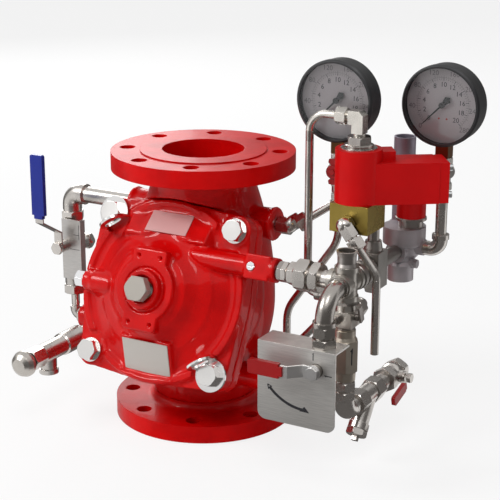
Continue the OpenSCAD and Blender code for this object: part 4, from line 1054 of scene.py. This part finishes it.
class VALVE_OT_signs(bpy.types.Operator):
    """Draw the plain arrows and lines on the release panel, the sign plate and the check valve"""

    bl_idname = "valve.signs"
    bl_label = "Arrows and lines"

    def execute(self, context):
        self.mark_panel()
        self.mark_sign_plate()
        self.mark_check_valve()
        return {"FINISHED"}

    def mark_panel(self):
        low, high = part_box("release_panel")
        corner = Vector((high.x, low.y - PRINT / 2, high.z))
        hub = upright(corner - Vector((PANEL_HUB, 0, PANEL_HUB)))
        bm = bmesh.new()
        self.add_swing_arrow(bm, hub @ Matrix.Translation(SWING_CENTRE))
        for middle, size, (tip_across, tip_up), turn in SHORT_ARROWS:
            line = hub @ Matrix.Translation((*middle, 0))
            add_bar(bm, line, size)
            add_arrow_head(bm, line @ Matrix.Translation((tip_across, tip_up, -PRINT / 2)), turn, SHORT_HEAD)
        piece("release_panel_marks", closed(bm), "valve", "gauge_black", finish="ink")

    def add_swing_arrow(self, bm, swing):
        """A long curved arrow with a split tail, for the way that the lever swings."""
        start, end = SWING_TURN
        add_arc(bm, swing, SWING_RADIUS, SWING_WIDTH, start, end)
        tip = swing @ Matrix.Rotation(end, 4, "Z") @ Matrix.Translation((SWING_RADIUS, 0, -PRINT / 2))
        add_arrow_head(bm, tip, math.pi / 2, SWING_HEAD)
        for side in (-1, 1):
            prong = Matrix.Translation((SWING_RADIUS + side * PRONG_REACH, -0.001, 0))
            tail = swing @ Matrix.Rotation(start, 4, "Z") @ prong
            add_bar(bm, tail @ Matrix.Rotation(side * -PRONG_TURN, 4, "Z"), PRONG_SIZE)

    def mark_sign_plate(self):
        low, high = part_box("sign_plate")
        face = upright((high.x - SIGN_INSET, low.y - PRINT / 2, SIGN_LEVEL))
        bm = bmesh.new()
        for middle, size in SIGN_LINES:
            add_bar(bm, face @ Matrix.Translation((*middle, 0)), size)
        piece("sign_plate_marks", closed(bm), "valve", "gauge_black", finish="ink")

    def mark_check_valve(self):
        middle = middle_of("check_valve_body")
        flat = Matrix.Translation((middle.x, middle.y, ARROW_LEVEL)) @ Matrix.Rotation(ARROW_TURN, 4, "Z")
        face = flat @ upright((0, -ARROW_REACH - PRINT / 2, 0))
        bm = bmesh.new()
        add_bar(bm, face, ARROW_LINE)
        tip = face @ Matrix.Translation((0, ARROW_TIP, -PRINT / 2))
        add_arrow_head(bm, tip, math.pi / 2, ARROW_HEAD)
        piece("check_valve_arrow", closed(bm), "valve", "gauge_black", finish="ink")


def add_thread(bm, place, radius, length):
    """A helical ridge that stands on a pipe along its place's Z."""
    turns = length / THREAD_PITCH
    foot, crest = (radius + depth for depth in THREAD_DEPTH)
    ridge = ((foot, 0.05), (crest, 0.5), (foot, 0.95))
    profile = [bm.verts.new((reach, 0, rise * THREAD_PITCH)) for reach, rise in ridge]
    face = bm.faces.new(profile)
    steps = round(turns * THREAD_STEPS)
    made = bmesh.ops.spin(
        bm,
        geom=[*profile, *face.edges, face],
        cent=(0, 0, 0),
        axis=(0, 0, 1),
        dvec=(0, 0, (length - THREAD_PITCH) / steps),
        angle=FULL_TURN * turns,
        steps=steps,
    )
    ends = [item for item in made["geom_last"] if isinstance(item, bmesh.types.BMVert)]
    bmesh.ops.transform(bm, matrix=place, verts=list(joined(*profile, *ends)))


class VALVE_OT_bolts(bpy.types.Operator):
    """Chamfer the corners of the cover's bolts"""

    bl_idname = "valve.bolts"
    bl_label = "Cover bolts"

    def execute(self, context):
        bm = merged_copy("cover_bolts")
        cut(bm, COVER_FRAME @ Vector((0, 0, BOLT_SEAT)), COVER_FRAME.col[2].xyz)
        for x in (-BOLT_REACH, BOLT_REACH):
            for y in (-BOLT_REACH, BOLT_REACH):
                foot = COVER_FRAME @ Matrix.Translation((x, y, BOLT_SEAT - PRINT))
                self.add_head(bm, foot @ Matrix.Rotation(math.pi / 6, 4, "Z"))
        name = "chamfered_cover_bolts"
        piece(name, closed(bm), "valve", "bright_bolt", ("cover_bolts",), finish="cover_bolt")
        return {"FINISHED"}

    def add_head(self, bm, foot):
        """A hexagon whose upper corners are worn off."""
        verts = add_disc(bm, foot, BOLT_FLATS / math.sqrt(3), BOLT_HEAD, segments=6)["verts"]
        verts.sort(key=lambda vert: (foot.inverted() @ vert.co).z)
        bmesh.ops.bevel(
            bm,
            geom=verts[6:],
            offset=BOLT_CHAMFER,
            segments=1,
            affect="VERTICES",
            profile=0.5,
            material=-1,
        )


class VALVE_OT_pipes(bpy.types.Operator):
    """Give the vent pipe and the elbow pipe of the relay valve their own finishes"""

    bl_idname = "valve.pipes"
    bl_label = "Relay pipes"

    def execute(self, context):
        pipes = (("vent_pipe", "vent_pipe", True), ("relay_elbow_pipe", "steel", False))
        for name, finish, is_vent in pipes:
            bm = merged_copy("relay_pipes")
            vent = joined(min(bm.verts, key=lambda vert: vert.co.x))
            other = [vert for vert in bm.verts if (vert in vent) != is_vent]
            bmesh.ops.delete(bm, geom=other, context="VERTS")
            piece(name, closed(bm), "valve", "steel", ("relay_pipes",), finish=finish)
        return {"FINISHED"}


class VALVE_OT_threads(bpy.types.Operator):
    """Cut the pipe thread that shows under the lower tee"""

    bl_idname = "valve.threads"
    bl_label = "Threads"

    def execute(self, context):
        cross = middle_of("manifold_cross")
        tee = middle_of("lower_tee")
        foot = Vector((tee.x, cross.y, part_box("lower_tee")[0].z - THREAD_DROP))
        dark = bmesh.new()
        add_thread(dark, Matrix.Translation(foot), HALF_PIPE, THREAD_DROP - 0.0002)
        piece("check_valve_thread", closed(dark), "valve", "dark_steel")
        return {"FINISHED"}


class VALVE_OT_screws(bpy.types.Operator):
    """Set the bright screws in the end of the solenoid's housing"""

    bl_idname = "valve.screws"
    bl_label = "Housing screws"

    def execute(self, context):
        bm = bmesh.new()
        turn = Matrix.Translation(HOUSING_FOOT) @ Matrix.Rotation(HOUSING_TURN, 4, "Z")
        outwards = Matrix.Rotation(math.pi / 2, 4, "Y")
        for height in SCREW_HEIGHTS:
            place = turn @ Matrix.Translation((*SCREW_PLACE, height)) @ outwards
            made = add_disc(bm, place, *SCREW_HEAD)
            crown = max(
                (face for vert in made["verts"] for face in vert.link_faces if len(face.verts) > 4),
                key=lambda face: (turn.inverted() @ face.calc_center_median()).x,
            )
            bmesh.ops.inset_region(bm, faces=[crown], thickness=SOCKET_WALL)
            bmesh.ops.translate(bm, verts=crown.verts, vec=crown.normal * -SOCKET_DEPTH)
        rim = [edge for edge in bm.edges if edge.calc_face_angle(0) > 1]
        bmesh.ops.bevel(
            bm, geom=rim, offset=SCREW_EDGE, segments=2, affect="EDGES", profile=0.5, material=-1
        )
        piece("housing_screws", closed(bm), "valve", "bright_bolt")
        return {"FINISHED"}


def add_lamp(name, place, aim, size, power):
    """A large soft rectangular lamp turned to a point."""
    data = bpy.data.lights.new(name, "AREA")
    data.shape = "RECTANGLE"
    data.size, data.size_y = size
    data.energy = power
    lamp = bpy.data.objects.new(name, data)
    lamp.location = place
    lamp.rotation_mode = "QUATERNION"
    lamp.rotation_quaternion = (Vector(place) - Vector(aim)).to_track_quat("Z", "Y")
    bpy.context.scene.collection.objects.link(lamp)


def floor_material():
    """Pale floor that looks white to the camera and keeps the object's shadow."""
    finish = Finish("studio_floor")
    lit = finish.node("ShaderNodeBsdfDiffuse", values={"Color": (0.95, 0.95, 0.95, 1)}, output="BSDF")
    white = finish.node("ShaderNodeEmission", values={"Color": (1, 1, 1, 1), "Strength": 1.0})
    share = finish.seen_plainly() * FLOOR_WHITE
    finish.end(finish.node("ShaderNodeMixShader", values={0: share, 1: lit, 2: white}))
    return finish.material


def card_material(level):
    """A dark card that only shiny surfaces see; the camera and the light pass through it."""
    finish = Finish("studio_card")
    shiny = finish.node("ShaderNodeLightPath", output="Is Glossy Ray")
    clear = finish.node("ShaderNodeBsdfTransparent", output="BSDF")
    dark = finish.node("ShaderNodeEmission", values={"Color": (1, 0.96, 0.94, 1), "Strength": level})
    finish.end(finish.node("ShaderNodeMixShader", values={0: shiny, 1: clear, 2: dark}))
    return finish.material


def add_card(name, studio, start, end, low, high):
    """A curved wall round the object between two angles, or a ring on the floor where low is high."""
    bm = bmesh.new()
    near = studio.room * (FLOOR_HOLE if low == high else 1)
    sweep_line(bm, (near, 0, low), (studio.room, 0, high), start, end, CARD_STEPS)
    object_of(name, bm, card_material(studio.card))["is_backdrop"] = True


class VALVE_OT_studio(bpy.types.Operator):
    """Set up the camera, the lamps, the room light and the floor"""

    bl_idname = "valve.studio"
    bl_label = "Studio"

    def execute(self, context):
        studio = context.scene.valve_studio
        self.add_camera(studio)
        self.light_room(studio)
        for name, place, size, share in LAMPS:
            add_lamp(name, place, LAMP_AIM, size, studio.lamp * share)
        for name, start, end, low, high in CARDS:
            add_card(name, studio, math.radians(start), math.radians(end), low, high)
        bm = bmesh.new()
        bmesh.ops.create_grid(bm, x_segments=1, y_segments=1, size=30)
        object_of("studio_floor", bm, floor_material())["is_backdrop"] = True
        context.scene.view_settings.view_transform = "Standard"
        return {"FINISHED"}

    def add_camera(self, studio):
        data = bpy.data.cameras.new("camera")
        data.sensor_width = 36
        data.lens = studio.lens
        camera = bpy.data.objects.new("camera", data)
        back = CAMERA_RIGHT.cross(CAMERA_UP)
        turn = Matrix((CAMERA_RIGHT, CAMERA_UP, back)).transposed()
        camera.matrix_world = Matrix.Translation(CAMERA_PLACE) @ turn.to_4x4()
        bpy.context.scene.collection.objects.link(camera)
        bpy.context.scene.camera = camera

    def light_room(self, studio):
        world = bpy.data.worlds.new("studio")
        room = NodeTree(world)
        strength = room.seen_plainly() * (1 - studio.level) + studio.level
        light = room.node("ShaderNodeBackground", values={"Strength": strength})
        room.end(light, "ShaderNodeOutputWorld")
        bpy.context.scene.world = world


class VALVE_PT_panel(bpy.types.Panel):
    """Lists the valve's operators and their settings"""

    bl_idname = "VALVE_PT_panel"
    bl_label = "Control Valve"
    bl_space_type = "VIEW_3D"
    bl_region_type = "UI"
    bl_category = "Valve"

    def draw(self, context):
        for group in SETTINGS:
            settings = getattr(context.scene, group)
            for name in settings.bl_rna.properties.keys():
                if name not in ("rna_type", "name"):
                    self.layout.prop(settings, name)
        for operator in OPERATORS:
            self.layout.operator(operator.bl_idname)


SETTINGS = {
    "valve_paint": PaintSettings,
    "valve_metal": MetalSettings,
    "valve_dial": DialSettings,
    "valve_casting": CastingSettings,
    "valve_studio": StudioSettings,
}
OPERATORS = (
    VALVE_OT_studio,
    VALVE_OT_finishes,
    VALVE_OT_castings,
    VALVE_OT_dials,
    VALVE_OT_signs,
    VALVE_OT_bolts,
    VALVE_OT_pipes,
    VALVE_OT_threads,
    VALVE_OT_screws,
)


def register():
    for kind in (*SETTINGS.values(), *OPERATORS, VALVE_PT_panel):
        bpy.utils.register_class(kind)
    for name, kind in SETTINGS.items():
        setattr(bpy.types.Scene, name, PointerProperty(type=kind))


def unregister():
    for name in SETTINGS:
        delattr(bpy.types.Scene, name)
    for kind in (VALVE_PT_panel, *reversed(OPERATORS), *SETTINGS.values()):
        bpy.utils.unregister_class(kind)


def main():
    register()
    for operator in OPERATORS:
        family, name = operator.bl_idname.split(".")
        getattr(getattr(bpy.ops, family), name)()
    boxes = {"cad": CAD_BOX, "visual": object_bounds()}
    {key: [list(corner) for corner in box] for key, box in boxes.items()}


if __name__ == "__main__":
    main()
